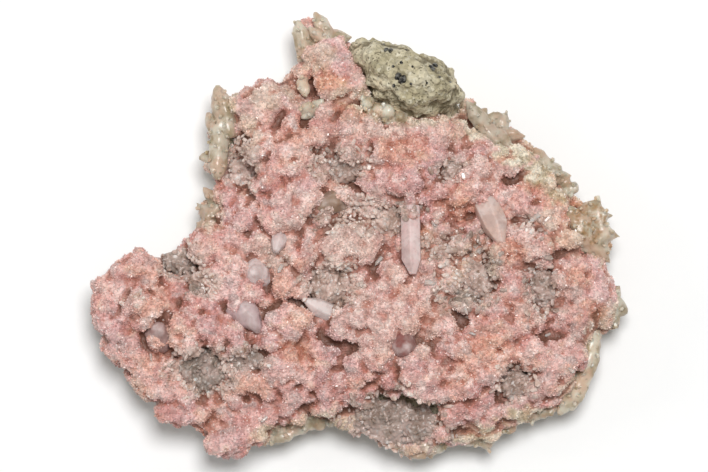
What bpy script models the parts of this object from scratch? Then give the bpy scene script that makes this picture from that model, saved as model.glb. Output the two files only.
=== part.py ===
"""Pink stilbite specimen: a plate of host rock under a rough crust of pink crystal lumps, with grey quartz in the
hollows of the crust, single quartz prisms standing in it and pale crystals round its rim.

Metres, +Z up. The specimen lies on its back with the crust facing up. The origin is on the floor, under the middle
of the specimen's box: x runs to the right of the crystal face and y to its top.
"""

import math
import random

import bmesh
import bpy
import numpy as np
from mathutils import Matrix, Vector, noise

MM = 0.001

# Driving dimensions of the plate
RIM_HEIGHT = 8.0 * MM  # top of the rock at the rim
CROWN_HEIGHT = 14.0 * MM  # top of the rock in the middle
CROWN_WIDTH = 15.0 * MM  # how far in from the rim the rock reaches its full height
UNDERCUT_HEIGHT = 5.5 * MM  # underside of the rock at the rim
UNDERCUT_WIDTH = 9.0 * MM  # how far in from the rim the underside meets the floor
UNDERCUT_DEPTH = 2.0 * MM  # how far the underside would reach below the floor before it is cut flat
ROCK_INSET = 2.6 * MM
CRUST_INSET = -0.3 * MM
CRUST_THICKNESS = 2.8 * MM
CRUST_UNDERSIDE = 6.2 * MM
LUMP_SINK = 0.34  # a lump's middle stands this share of its radius above the crust's sheet
LUMP_SQUASH = 0.95
GAP = 0.35 * MM  # between pieces that touch

# Mesh sizes
ROCK_VOXEL = 1.0 * MM
CRUST_VOXEL = 0.8 * MM
ROCK_FACES = 950
CRUST_FACES = 3300
CUT_CRUST_FACES = 4250  # with its seats cut

# The plate's edge as seen from above, clockwise from the summit, in millimetres
EDGE = [
    (-12.0, 41.2), (-8.4, 43.2), (-5.0, 40.8), (-2.0, 39.2), (3.0, 38.2), (8.0, 37.8), (13.0, 36.4),
    (16.4, 34.0), (19.0, 31.2), (20.0, 27.6), (24.0, 24.4), (28.0, 22.8), (32.0, 19.2), (34.4, 15.6),
    (38.0, 12.4), (41.6, 10.4), (43.0, 7.6), (47.0, 5.6), (49.4, 2.2), (50.4, -1.4), (48.8, -5.2),
    (49.4, -9.2), (51.2, -12.8), (52.0, -15.2), (48.6, -17.8), (46.6, -20.8), (45.6, -25.2), (43.6, -29.8),
    (40.6, -33.4), (36.0, -35.6), (31.0, -36.8), (27.6, -39.2), (23.6, -40.8), (18.0, -41.4), (14.0, -43.4),
    (9.6, -43.4), (6.4, -41.4), (0.4, -39.0), (-5.0, -37.0), (-11.0, -36.8), (-15.0, -38.6), (-19.0, -40.4),
    (-23.0, -41.8), (-26.4, -43.0), (-29.2, -41.4), (-32.0, -38.6), (-38.0, -36.0), (-41.0, -32.8),
    (-46.0, -27.8), (-50.4, -22.8), (-51.8, -17.8), (-51.8, -11.8), (-50.8, -8.0), (-46.0, -5.0),
    (-42.0, -4.2), (-37.6, -4.4), (-34.0, -2.0), (-31.4, 2.2), (-30.4, 6.6), (-28.8, 9.6), (-30.0, 14.2),
    (-28.8, 18.2), (-28.8, 24.2), (-26.4, 27.8), (-23.0, 28.2), (-19.0, 29.6), (-15.0, 30.4),
    (-12.6, 32.8), (-12.2, 37.2),
]

# Where the crust stops short of that edge, round the bare knob of rock at the top
BARE = {
    (-2.0, 39.2): (-2.0, 37.4), (3.0, 38.2): (1.6, 33.4), (8.0, 37.8): (5.0, 29.4), (13.0, 36.4): (10.0, 27.0),
    (16.4, 34.0): (14.6, 25.8), (19.0, 31.2): (17.6, 25.8), (20.0, 27.6): (20.2, 26.0),
}

# The rock that stands clear of the crust: middle (x, y, z) and radii, in millimetres
KNOB = [
    ((11.0, 31.2, 13.0), (8.2, 6.7, 11.4)),
    ((6.0, 33.6, 13.0), (5.2, 4.8, 9.4)),
    ((1.8, 36.4, 11.5), (5.0, 3.2, 8.2)),
    ((16.0, 28.8, 12.0), (4.2, 4.2, 8.0)),
    ((12.2, 27.4, 13.0), (5.0, 3.8, 8.4)),
]

# The pink lumps: x, y and radius in millimetres, by part of the plate
LUMPS = {
    "west arm": [
        (-43.8, -7.6, 4.7), (-50.2, -10.8, 3.4), (-50.0, -15.2, 3.2), (-46.8, -18.0, 3.2), (-49.6, -20.8, 2.8),
        (-42.0, -14.0, 3.6), (-44.8, -22.4, 3.2), (-36.0, -10.4, 2.8), (-32.0, -13.6, 3.2), (-34.4, -18.4, 3.0),
        (-46.6, -12.6, 3.0), (-29.6, -18.0, 3.6), (-25.2, -20.6, 3.0), (-40.8, -26.0, 3.2), (-38.4, -30.0, 3.4), (-42.6, -28.8, 2.8),
        (-34.0, -22.8, 1.8), (-34.8, -31.2, 2.6), (-36.8, -34.6, 2.8), (-32.6, -34.8, 3.0),
    ],
    "foot": [(-26.8, -41.0, 3.2), (-23.0, -39.6, 3.2), (-21.0, -37.0, 2.2)],
    "left flank": [
        (-29.6, -3.2, 4.0), (-25.0, -5.2, 3.4), (-29.2, 0.4, 2.6), (-24.0, -0.4, 3.0), (-27.2, -9.6, 3.2),
        (-21.6, 4.4, 3.4), (-25.4, 6.2, 2.4), (-27.0, 10.0, 2.0), (-29.4, 14.0, 2.0),
    ],
    "upper left": [
        (-19.6, 14.2, 3.4), (-13.6, 15.6, 3.6), (-17.2, 10.0, 3.6), (-11.6, 9.2, 3.6), (-17.6, 27.0, 4.2),
        (-20.8, 23.2, 2.6), (-14.0, 24.8, 2.8), (-15.2, 4.8, 4.4), (-8.0, 19.6, 2.4), (-8.4, 12.8, 3.4),
        (-13.4, 20.4, 2.6), (-18.4, 18.8, 2.4), (-23.4, 26.6, 2.4), (-21.4, 10.0, 2.2),
    ],
    "summit slope": [
        (-6.4, 35.6, 4.0), (-2.0, 32.8, 3.8), (1.2, 29.6, 2.4), (-4.8, 30.0, 3.6), (-10.6, 33.4, 2.4),
        (-9.6, 38.2, 2.4),
    ],
    "upper middle": [
        (-6.4, 23.0, 2.4), (-1.6, 22.8, 2.4), (2.4, 21.2, 2.6), (7.2, 21.2, 2.6), (-2.0, 17.6, 2.8),
        (5.6, 16.0, 3.4), (8.8, 11.2, 3.8), (3.6, 10.4, 2.8), (12.8, 22.0, 3.0), (17.2, 20.4, 3.0),
        (14.0, 17.0, 2.8), (22.8, 13.6, 2.8), (21.6, 9.2, 3.0), (17.0, 8.8, 2.2), (14.6, 5.8, 2.4),
    ],
    "upper right": [
        (28.4, 14.4, 2.8), (32.0, 13.6, 2.4), (36.0, 11.6, 3.0), (33.6, 8.8, 2.4), (30.0, 7.2, 2.8),
        (39.2, 5.6, 2.6), (35.2, 5.0, 2.4), (35.6, -2.4, 3.2), (32.0, 0.4, 2.0), (41.2, -0.4, 2.4),
        (24.6, 17.6, 2.2), (25.4, 11.0, 2.2), (38.4, 1.6, 2.2), (31.4, 17.0, 2.2),
    ],
    "right flank": [
        (44.4, -6.0, 2.6), (47.8, -10.4, 3.0), (43.2, -11.2, 2.8), (39.6, -8.4, 2.8), (48.6, -15.0, 2.4),
        (42.8, -16.0, 3.0), (28.8, -5.2, 3.2), (30.0, -10.8, 3.0), (25.6, -14.8, 2.8), (32.0, -15.2, 3.2),
    ],
    "lower right": [
        (44.0, -20.4, 2.4), (40.2, -24.0, 3.4), (35.2, -23.6, 3.0), (37.0, -28.8, 3.2), (32.0, -22.4, 2.4),
        (28.0, -18.8, 2.6), (23.2, -20.0, 2.8), (21.2, -24.4, 3.2), (25.2, -27.2, 2.6), (16.8, -18.0, 2.8),
        (19.6, -29.2, 2.8), (23.6, -31.2, 2.4), (20.4, -34.4, 2.6), (26.0, -35.0, 2.2), (16.6, -37.4, 2.2),
        (30.6, -33.8, 2.4), (35.6, -33.0, 2.4), (44.6, -25.0, 2.2), (26.6, -23.2, 2.2), (17.6, -32.0, 2.2),
    ],
    "lower middle": [
        (-2.8, -17.8, 3.0), (2.4, -15.2, 3.6), (8.0, -15.2, 4.0), (4.0, -21.6, 4.2), (11.2, -25.2, 4.0),
        (14.4, -28.8, 2.6), (11.6, -31.4, 2.8), (0.0, -26.0, 2.4), (-6.8, -24.4, 2.4), (-7.2, -28.8, 3.0),
        (-2.8, -29.6, 2.8), (-6.4, -33.2, 2.8), (6.6, -27.0, 2.4),
    ],
    "lower left": [
        (-13.6, -17.2, 3.6), (-18.4, -20.6, 2.6), (-10.4, -21.2, 2.4), (-15.2, -25.6, 3.8), (-19.2, -28.4, 2.4),
        (-14.0, -31.2, 3.2), (-10.4, -28.0, 2.4), (-18.0, -34.4, 2.6), (-12.8, -34.6, 2.4), (-22.6, -28.8, 2.2),
    ],
    "middle band": [
        (-4.0, -2.0, 3.8), (1.2, -2.0, 3.0), (-8.8, 0.0, 2.4), (-10.8, -4.4, 3.2), (-14.0, -9.2, 3.0),
        (-16.0, -3.4, 2.4), (6.4, -6.8, 2.6), (6.0, -11.2, 2.8), (13.4, -5.2, 2.2), (12.8, -10.8, 2.6),
        (18.4, -8.4, 2.2), (0.4, -10.0, 2.4), (-7.2, 3.6, 2.2), (14.0, 0.6, 2.0), (-19.6, -1.4, 2.4), (-12.4, 0.2, 2.2),
        (20.6, -12.4, 2.4), (-23.0, -11.2, 2.4),
    ],
}
KNOBBLES_PER_LUMP = 3

# Single prisms: foot and tip (x, y, height above the crust's sheet) and radius, in millimetres
PRISMS = {
    "centre_prism": ((10.0, 5.6, 2.0), (10.2, -7.2, 4.2), 1.75),
    "east_prism": ((24.6, 7.0, 0.8), (28.4, -1.4, 4.0), 2.6),
    "west_prism": ((-24.6, -14.0, 0.8), (-19.8, -17.6, 3.8), 2.3),
    "round_prism": ((-20.4, -8.0, -1.2), (-20.2, -6.6, 4.6), 2.6),
    "slim_prism": ((-15.6, 1.0, 1.6), (-16.4, -2.6, 5.6), 1.3),
    "shoulder_prism": ((-40.2, -21.0, -1.0), (-39.6, -18.6, 4.4), 2.5),
    "saddle_prism": ((8.0, -20.6, -1.0), (8.8, -22.2, 6.2), 1.8),
    "heart_prism": ((-5.4, -15.4, 0.4), (-11.0, -13.0, 3.4), 1.9),
    "nook_prism": ((20.8, -1.4, 0.6), (16.2, -3.4, 3.0), 1.4),
    "grey_lens_prism": ((-2.4, 8.2, 0.2), (-8.6, 5.6, 2.6), 2.2),
}

# Groups of crystals grown through each other: foot and tip (x, y, z) and radius of each, in millimetres
GROUPS = {
    "summit_blades": [
        ((-10.6, 34.6, 11.0), (-12.4, 43.4, 12.0), 1.8),
        ((-6.2, 39.2, 10.6), (-9.0, 45.0, 12.0), 1.8),
        ((-6.6, 38.6, 12.4), (-10.6, 41.6, 13.4), 1.4),
        ((-9.4, 36.6, 9.6), (-7.0, 42.4, 10.0), 2.4),
        ((-8.4, 39.4, 9.8), (-1.6, 39.8, 10.4), 1.8),
    ],
    "northwest_blades": [
        ((-23.6, 20.4, 13.6), (-24.4, 31.2, 14.8), 1.9),
        ((-26.4, 20.0, 11.6), (-28.4, 30.0, 12.4), 2.4),
        ((-28.0, 22.0, 12.4), (-28.4, 11.2, 14.8), 1.7),
        ((-22.0, 21.4, 12.0), (-20.8, 30.8, 12.6), 1.5),
        ((-27.4, 18.4, 11.6), (-30.2, 24.6, 11.6), 1.6),
        ((-27.6, 16.4, 11.0), (-32.0, 15.2, 11.0), 1.6),
    ],
    "left_edge_crystals": [
        ((-29.0, 3.4, 10.4), (-33.2, 6.4, 11.0), 1.9),
        ((-28.6, 5.4, 11.0), (-31.2, 3.0, 13.6), 1.6),
        ((-29.0, -0.6, 10.0), (-35.0, -1.2, 10.2), 1.6),
        ((-28.6, 1.8, 10.6), (-33.2, 2.8, 10.8), 1.4),
        ((-28.8, 6.6, 10.4), (-31.6, 10.0, 11.4), 1.5),
    ],
    "drooping_tip": [
        ((-11.6, 31.0, 14.6), (-10.6, 27.4, 16.4), 1.2),
    ],
    "northeast_blade": [
        ((27.6, 18.6, 12.6), (20.8, 27.0, 14.2), 2.1),
        ((27.2, 20.6, 11.8), (30.4, 17.0, 13.4), 1.7),
        ((24.0, 22.0, 11.6), (28.6, 24.8, 11.6), 1.3),
        ((28.0, 20.6, 10.6), (29.0, 25.0, 10.8), 1.5),
        ((27.6, 20.4, 10.8), (33.2, 20.0, 11.4), 1.5),
        ((23.4, 22.6, 10.8), (25.2, 26.0, 11.0), 1.2),
    ],
    "upper_right_rim": [
        ((37.6, 14.2, 8.8), (34.6, 18.2, 10.6), 1.4),
        ((38.0, 13.0, 9.6), (38.8, 14.8, 10.4), 1.2),
        ((39.0, 11.4, 9.6), (42.8, 12.4, 11.4), 1.5),
        ((40.0, 9.6, 10.2), (44.0, 9.2, 11.0), 1.3),
        ((37.0, 13.0, 9.4), (41.4, 10.2, 10.4), 1.6),
    ],
    "right_rim_crystals": [
        ((41.6, 4.6, 11.4), (46.0, -0.2, 13.8), 1.9),
        ((44.0, 4.0, 10.4), (48.6, 7.8, 11.2), 2.0),
        ((45.2, 3.4, 10.4), (51.2, 4.6, 10.4), 2.0),
        ((44.8, 1.4, 10.6), (52.4, -0.6, 11.0), 2.1),
        ((44.6, -1.0, 10.4), (50.8, -5.4, 11.0), 2.0),
        ((43.0, 2.0, 10.2), (46.6, -3.2, 12.6), 1.6),
    ],
    "right_tip_crystals": [
        ((49.6, -13.6, 8.8), (53.6, -15.4, 9.4), 2.0),
        ((49.4, -12.8, 8.4), (52.2, -10.4, 9.0), 1.7),
        ((49.6, -14.0, 8.0), (51.4, -18.4, 8.2), 1.8),
    ],
    "southeast_blade": [
        ((46.8, -18.8, 9.2), (45.8, -28.0, 9.4), 1.7),
        ((46.4, -24.0, 9.2), (42.0, -34.8, 9.4), 1.9),
        ((42.8, -31.0, 8.8), (39.6, -35.6, 8.8), 1.8),
    ],
    "lower_right_rim": [
        ((39.2, -34.0, 8.6), (35.8, -36.4, 8.2), 1.2),
        ((37.2, -34.4, 8.4), (34.0, -37.4, 7.6), 1.2),
        ((35.2, -35.4, 8.4), (32.6, -37.8, 7.6), 1.1),
        ((33.4, -35.4, 8.6), (30.0, -37.2, 8.2), 1.4),
        ((31.6, -36.2, 8.4), (27.8, -40.0, 7.8), 1.3),
        ((29.0, -37.4, 8.4), (26.6, -41.0, 7.8), 1.1),
        ((27.8, -38.6, 8.4), (23.6, -41.6, 8.0), 1.4),
        ((25.2, -39.6, 8.4), (20.4, -42.2, 8.0), 1.3),
    ],
    "bottom_rim": [
        ((17.4, -40.6, 8.6), (15.2, -43.8, 8.0), 1.2),
        ((15.8, -41.6, 8.4), (12.6, -44.4, 7.8), 1.3),
        ((13.6, -42.4, 8.4), (9.8, -44.8, 7.8), 1.3),
        ((11.2, -42.4, 8.2), (7.6, -43.8, 7.8), 1.1),
    ],
    "lower_left_rim": [
        ((-1.6, -37.0, 8.4), (-3.6, -38.6, 7.6), 1.1),
        ((-2.6, -36.4, 8.4), (-6.8, -38.0, 7.8), 1.2),
        ((-5.4, -36.2, 8.4), (-10.0, -38.0, 7.8), 1.2),
        ((-8.6, -36.4, 8.4), (-13.4, -38.8, 7.8), 1.3),
        ((-12.2, -37.2, 8.4), (-16.0, -40.2, 7.8), 1.3),
        ((-14.8, -38.6, 8.6), (-19.6, -41.8, 8.2), 1.5),
        ((-18.0, -39.0, 8.8), (-20.4, -38.6, 9.4), 1.5),
    ],
    "knob_foot_crystals": [
        ((1.4, 24.6, 15.0), (1.8, 26.2, 19.4), 1.2),
        ((3.0, 24.2, 15.0), (3.8, 25.6, 20.0), 1.4),
        ((5.2, 23.8, 15.0), (5.6, 24.6, 19.6), 1.5),
        ((7.2, 23.6, 15.0), (8.0, 23.6, 19.4), 1.2),
        ((2.2, 23.4, 14.6), (9.8, 22.6, 15.8), 1.5),
    ],
    "fan_crystals": [
        ((-11.8, 24.4, 15.2), (-9.4, 26.4, 18.2), 1.1),
        ((-9.6, 24.2, 14.8), (-7.4, 27.2, 18.4), 1.3),
        ((-8.0, 25.6, 14.8), (-12.0, 23.6, 16.6), 1.2),
        ((-10.6, 25.2, 14.6), (-4.6, 25.8, 16.6), 1.3),
    ],
}

# Quartz in hollows: middle x and y, radii along x and y, and how far the points stand above the sheet, in mm
DRUSES = {
    "south_druse": ((7.0, -36.8), (8.4, 4.6), 1.6),
    "west_druse": ((-31.4, -26.4), (4.6, 4.2), 0.6),
    "west_hollow_druse": ((-22.4, -24.4), (4.0, 1.9), 0.4),
    "shoulder_druse": ((-36.0, -5.4), (3.4, 2.6), 0.8),
    "flank_druse": ((-31.8, -9.0), (2.2, 1.8), 1.4),
    "upper_left_druse": ((-23.4, 13.2), (2.6, 3.2), 0.8),
    "north_druse": ((-3.4, 13.2), (3.8, 2.6), 0.9),
    "centre_druse": ((5.6, 3.0), (2.8, 2.8), 0.9),
    "heart_druse": ((-6.4, -9.6), (4.4, 3.8), 1.2),
    "high_druse": ((18.4, 13.2), (2.6, 2.0), 0.8),
    "east_druse": ((23.6, -9.0), (3.0, 4.0), 1.1),
    "far_east_druse": ((36.0, -10.0), (2.7, 4.2), 0.8),
    "southeast_druse": ((30.6, -29.4), (3.0, 2.6), 1.2),
}
CRYSTALS_PER_DRUSE = 6

COLOURS = {
    "rock": (0.42, 0.37, 0.26),
    "pink": (0.66, 0.38, 0.33),
    "grey": (0.35, 0.27, 0.23),
    "lilac": (0.60, 0.44, 0.42),
    "cream": (0.62, 0.56, 0.46),
}


def smoothstep(t):
    t = np.clip(t, 0.0, 1.0)
    return t * t * (3.0 - 2.0 * t)


def edge_depth(points, outline):
    """How far in from the outline each point lies, and negative outside it."""
    points = np.asarray(points, float)[:, :2]
    corners = np.asarray(outline, float)
    nearest = np.full(len(points), np.inf)
    inside = np.zeros(len(points), bool)
    for (ax, ay), (bx, by) in zip(corners, np.roll(corners, -1, axis=0)):
        dx, dy = bx - ax, by - ay
        along = ((points[:, 0] - ax) * dx + (points[:, 1] - ay) * dy) / (dx * dx + dy * dy)
        along = np.clip(along, 0.0, 1.0)
        gap = np.hypot(points[:, 0] - ax - along * dx, points[:, 1] - ay - along * dy)
        nearest = np.minimum(nearest, gap)
        if ay != by:
            crosses = (ay > points[:, 1]) != (by > points[:, 1])
            inside ^= crosses & (points[:, 0] < ax + (points[:, 1] - ay) * dx / dy)
    return np.where(inside, nearest, -nearest)


def inset(outline, distance):
    """The outline moved in by a distance, each corner along the mean of its two sides' normals."""
    moved = []
    for i, corner in enumerate(outline):
        before, here, after = Vector(outline[i - 1]), Vector(corner), Vector(outline[(i + 1) % len(outline)])
        first, second = (here - before).normalized(), (after - here).normalized()
        inward = (Vector((first.y, -first.x)) + Vector((second.y, -second.x))).normalized()
        moved.append(here + inward * distance)
    return moved


PLATE = [(x * MM, y * MM) for x, y in EDGE]


def rock_top(depth):
    return RIM_HEIGHT + (CROWN_HEIGHT - RIM_HEIGHT) * smoothstep(depth / CROWN_WIDTH)


def rock_underside(depth):
    return UNDERCUT_HEIGHT - (UNDERCUT_HEIGHT + UNDERCUT_DEPTH) * smoothstep(depth / UNDERCUT_WIDTH)


def sheet_top(x, y):
    """Height of the crust's sheet, which the lumps and prisms stand on."""
    return float(rock_top(edge_depth([(x, y)], PLATE))[0]) + CRUST_THICKNESS


def collection(name, hidden=False):
    made = bpy.data.collections.new(name)
    bpy.context.scene.collection.children.link(made)
    made.hide_render = hidden
    return made


def add_object(name, mesh, home):
    made = bpy.data.objects.new(name, mesh)
    home.objects.link(made)
    return made


def settle(obj):
    """Makes what the modifiers give the object's own mesh."""
    graph = bpy.context.evaluated_depsgraph_get()
    mesh = bpy.data.meshes.new_from_object(obj.evaluated_get(graph))
    obj.modifiers.clear()
    old, obj.data = obj.data, mesh
    bpy.data.meshes.remove(old)
    return obj


def make_cutter(obj):
    obj.hide_render = True
    obj.display_type = "WIRE"
    return obj


def slab(name, outline, height, home):
    """A flat plate of that outline, from z 0 to its height."""
    curve = bpy.data.curves.new(name + "_outline", "CURVE")
    curve.dimensions = "2D"
    curve.fill_mode = "BOTH"
    curve.extrude = height / 2
    spline = curve.splines.new("POLY")
    spline.points.add(len(outline) - 1)
    for point, (x, y) in zip(spline.points, outline):
        point.co = (x, y, 0.0, 1.0)
    spline.use_cyclic_u = True
    guide = bpy.data.objects.new(name + "_outline", curve)
    home.objects.link(guide)
    graph = bpy.context.evaluated_depsgraph_get()
    mesh = bpy.data.meshes.new_from_object(guide.evaluated_get(graph))
    bpy.data.objects.remove(guide)
    form = bmesh.new()
    form.from_mesh(mesh)
    bmesh.ops.remove_doubles(form, verts=form.verts, dist=0.001 * MM)
    bmesh.ops.translate(form, verts=form.verts, vec=(0.0, 0.0, height / 2))
    bmesh.ops.recalc_face_normals(form, faces=form.faces)
    form.to_mesh(mesh)
    form.free()
    return add_object(name, mesh, home)


def remesh(obj, voxel):
    modifier = obj.modifiers.new("Fuse", "REMESH")
    modifier.mode = "VOXEL"
    modifier.voxel_size = voxel
    return settle(obj)


def thin_out(obj, faces):
    """Brings the mesh down to about that many triangles."""
    triangles = sum(len(face.vertices) - 2 for face in obj.data.polygons)
    modifier = obj.modifiers.new("Facets", "DECIMATE")
    modifier.ratio = faces / triangles
    modifier.use_collapse_triangulate = True
    return settle(obj)


def set_heights(obj, height, under, over):
    """Spreads a slab's height between two surfaces, which are functions of the depth from the plate's edge."""
    places = np.array([vertex.co for vertex in obj.data.vertices])
    depth = edge_depth(places, PLATE)
    share = places[:, 2] / height
    places[:, 2] = under(depth) * (1.0 - share) + over(depth) * share
    obj.data.vertices.foreach_set("co", places.ravel())
    obj.data.update()


def roughen(obj, layers, seed):
    """Moves the surface in and out by noise: each layer is the size of its bumps and how far they stand."""
    offset = Vector((seed * 3.1, seed * 1.7, seed * 2.3))
    normals = [vertex.normal.copy() for vertex in obj.data.vertices]
    for vertex, normal in zip(obj.data.vertices, normals):
        move = sum(noise.noise(vertex.co / size + offset) * amount for size, amount in layers)
        vertex.co += normal * move
    obj.data.update()


def ball(form, centre, radii, turn=None, detail=2):
    """Adds a faceted ellipsoid to a bmesh."""
    place = Matrix.Translation(centre) @ (turn or Matrix.Identity(4)) @ Matrix.Diagonal((*radii, 1.0))
    bmesh.ops.create_icosphere(form, subdivisions=detail, radius=1.0, matrix=place)


def mesh_from(form, name):
    mesh = bpy.data.meshes.new(name)
    form.to_mesh(mesh)
    form.free()
    return mesh


def join_mesh(obj, form):
    """Adds a bmesh's shapes to an object's mesh as loose bodies, which a remesh then fuses."""
    form.from_mesh(obj.data)
    form.to_mesh(obj.data)
    form.free()


def largest_body(obj):
    """Keeps the largest of the mesh's loose bodies."""
    form = bmesh.new()
    form.from_mesh(obj.data)
    bmesh.ops.remove_doubles(form, verts=form.verts, dist=0.002 * MM)
    left, bodies = set(form.verts), []
    while left:
        body, edge_of_body = set(), [left.pop()]
        while edge_of_body:
            vertex = edge_of_body.pop()
            body.add(vertex)
            reached = [edge.other_vert(vertex) for edge in vertex.link_edges]
            edge_of_body += [other for other in reached if other in left]
            left.difference_update(reached)
        bodies.append(body)
    keep = max(bodies, key=len)
    bmesh.ops.delete(form, geom=[v for v in form.verts if v not in keep], context="VERTS")
    form.to_mesh(obj.data)
    form.free()
    return obj


def cut_flat_at_floor(obj):
    """Cuts off what lies below the floor and closes the cut with one flat face."""
    form = bmesh.new()
    form.from_mesh(obj.data)
    everything = [*form.verts, *form.edges, *form.faces]
    cut = bmesh.ops.bisect_plane(
        form, geom=everything, dist=0.01 * MM, plane_co=(0, 0, 0), plane_no=(0, 0, -1), clear_outer=True
    )
    rim = [item for item in cut["geom_cut"] if isinstance(item, bmesh.types.BMEdge)]
    bmesh.ops.holes_fill(form, edges=rim, sides=0)
    bmesh.ops.triangulate(form, faces=form.faces)
    bmesh.ops.recalc_face_normals(form, faces=form.faces)
    form.to_mesh(obj.data)
    form.free()


def boolean(obj, operation, operand, overlapping=False):
    """Cuts or joins the object with another object, or with every object in a collection."""
    modifier = obj.modifiers.new(operation.title(), "BOOLEAN")
    modifier.operation = operation
    modifier.use_self = overlapping
    if isinstance(operand, bpy.types.Collection):
        modifier.operand_type = "COLLECTION"
        modifier.collection = operand
    else:
        modifier.object = operand
    return settle(obj)


def crystal(form, foot, tip, radius, seed, blunt=0.0, flat=1.0, sides=6):
    """Adds a flat-sided prism from foot to tip. Its last part narrows to a point, or to a small blunt face."""
    foot, tip = Vector(foot), Vector(tip)
    along = tip - foot
    length = along.length
    point = min(radius * 1.5, length * 0.6)
    chance = random.Random(seed)
    made = bmesh.ops.create_cone(
        form, cap_ends=True, segments=sides, radius1=radius, radius2=radius * 0.96, depth=length - point
    )
    ends = {face for vertex in made["verts"] for face in vertex.link_faces}
    shoulder = max(ends, key=lambda face: face.calc_center_median().z)
    grown = bmesh.ops.extrude_face_region(form, geom=[shoulder])
    bmesh.ops.delete(form, geom=[shoulder], context="FACES_ONLY")
    peak = [item for item in grown["geom"] if isinstance(item, bmesh.types.BMVert)]
    lean = Vector((chance.uniform(-0.25, 0.25), chance.uniform(-0.25, 0.25), 0.0)) * radius
    for vertex in peak:
        vertex.co = Vector((vertex.co.x * blunt, vertex.co.y * blunt, vertex.co.z + point)) + lean
    if not blunt:
        bmesh.ops.pointmerge(form, verts=peak, merge_co=peak[0].co)
        peak = peak[:1]
    spin = Matrix.Rotation(chance.uniform(0.0, math.tau), 4, "Z")
    turn = along.to_track_quat("Z", "Y").to_matrix().to_4x4()
    start = Matrix.Translation((0.0, 0.0, (length - point) / 2))
    squash = Matrix.Diagonal((1.0, flat, 1.0, 1.0))
    matrix = Matrix.Translation(foot) @ turn @ spin @ squash @ start
    bmesh.ops.transform(form, matrix=matrix, verts=made["verts"] + peak)


def pyramid(form, foot, tip, radius, turn):
    """Adds the end of a quartz crystal: six flat faces that meet in a point."""
    along = tip - foot
    rise = along.to_track_quat("Z", "Y").to_matrix().to_4x4()
    place = Matrix.Translation((foot + tip) / 2) @ rise @ Matrix.Rotation(turn, 4, "Z")
    bmesh.ops.create_cone(
        form, cap_ends=True, segments=6, radius1=radius, radius2=0.0, depth=along.length, matrix=place
    )


def grown_ends(foot, tip, grow):
    """Foot and tip moved apart so that a seat is longer than its crystal by the gap at each end."""
    along = (Vector(tip) - Vector(foot)).normalized() * grow
    return Vector(foot) - along, Vector(tip) + along * 1.5


def crystal_object(name, foot, tip, radius, home, grow=0.0, **shape):
    """One crystal. A seat for it is the same crystal, grown on every side, a little more than the gap for its corners."""
    form = bmesh.new()
    start, end = grown_ends(foot, tip, grow)
    crystal(form, start, end, radius + grow * 1.4, seed=name, **shape)
    bmesh.ops.recalc_face_normals(form, faces=form.faces)
    return add_object(name + ("_seat" if grow else ""), mesh_from(form, name), home)


def material(name, colour, roughness):
    made = bpy.data.materials.new(name)
    made.use_nodes = True
    shader = made.node_tree.nodes["Principled BSDF"]
    shader.inputs["Base Color"].default_value = (*colour, 1.0)
    shader.inputs["Roughness"].default_value = roughness
    shader.inputs["Metallic"].default_value = 0.0
    return made


def paint(obj, made):
    obj.data.materials.clear()
    obj.data.materials.append(made)


def build_rock(home):
    """The host rock: a plate with a rough back, cut flat where it rests, and a knob that stands clear of the crust."""
    height = 10.0 * MM
    rock = slab("matrix_rock", inset(PLATE, ROCK_INSET), height, home)
    remesh(rock, ROCK_VOXEL)
    set_heights(rock, height, rock_underside, rock_top)
    form = bmesh.new()
    for centre, radii in KNOB:
        ball(form, Vector(centre) * MM, Vector(radii) * MM, detail=3)
    join_mesh(rock, form)
    remesh(rock, ROCK_VOXEL)
    roughen(rock, [(7.0 * MM, 1.5 * MM), (3.0 * MM, 0.9 * MM)], seed=4)
    thin_out(rock, ROCK_FACES)
    cut_flat_at_floor(rock)
    return rock


def rock_seat(rock, home):
    """The rock grown by the gap, to cut what sits on it."""
    seat = add_object("rock_seat", rock.data.copy(), home)
    for vertex, normal in zip(seat.data.vertices, [v.normal.copy() for v in rock.data.vertices]):
        vertex.co += normal * GAP * 1.8
    return make_cutter(seat)


def build_crust(home):
    """The pink crust: a sheet over the rock, with round lumps and smaller knobbles standing on it."""
    height = 10.0 * MM
    edge = [BARE.get(corner, corner) for corner in EDGE]
    crust = slab("pink_stilbite_crust", inset([(x * MM, y * MM) for x, y in edge], CRUST_INSET), height, home)
    remesh(crust, CRUST_VOXEL)
    set_heights(
        crust, height, lambda depth: np.full(len(depth), CRUST_UNDERSIDE), lambda d: rock_top(d) + CRUST_THICKNESS
    )
    chance = random.Random(11)
    form = bmesh.new()
    for group in LUMPS.values():
        for x, y, radius in group:
            x, y, radius = x * MM, y * MM, radius * MM
            centre = Vector((x, y, sheet_top(x, y) + radius * LUMP_SINK))
            ball(form, centre, (radius, radius, radius * LUMP_SQUASH))
            for _ in range(KNOBBLES_PER_LUMP):
                angle, rise = chance.uniform(0.0, math.tau), chance.uniform(0.1, 1.1)
                out = Vector((math.cos(angle) * math.cos(rise), math.sin(angle) * math.cos(rise), math.sin(rise)))
                size = radius * chance.uniform(0.34, 0.5)
                ball(form, centre + out * radius * 0.8, (size, size, size), detail=1)
    join_mesh(crust, form)
    remesh(crust, CRUST_VOXEL)
    roughen(crust, [(4.0 * MM, 0.7 * MM), (2.0 * MM, 0.3 * MM)], seed=7)
    thin_out(crust, CRUST_FACES)
    return crust


def build_prisms(home, seats, rock):
    """The single prisms, each cut clear of the rock, and their seats."""
    for name, (foot, tip, radius) in PRISMS.items():
        ends = []
        for x, y, rise in (foot, tip):
            ends.append(Vector((x * MM, y * MM, sheet_top(x * MM, y * MM) + rise * MM)))
        shape = {"blunt": 0.25}
        made = crystal_object(name, *ends, radius * MM, home, **shape)
        largest_body(boolean(made, "DIFFERENCE", rock))
        make_cutter(crystal_object(name, *ends, radius * MM, seats, grow=GAP, **shape))


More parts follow.
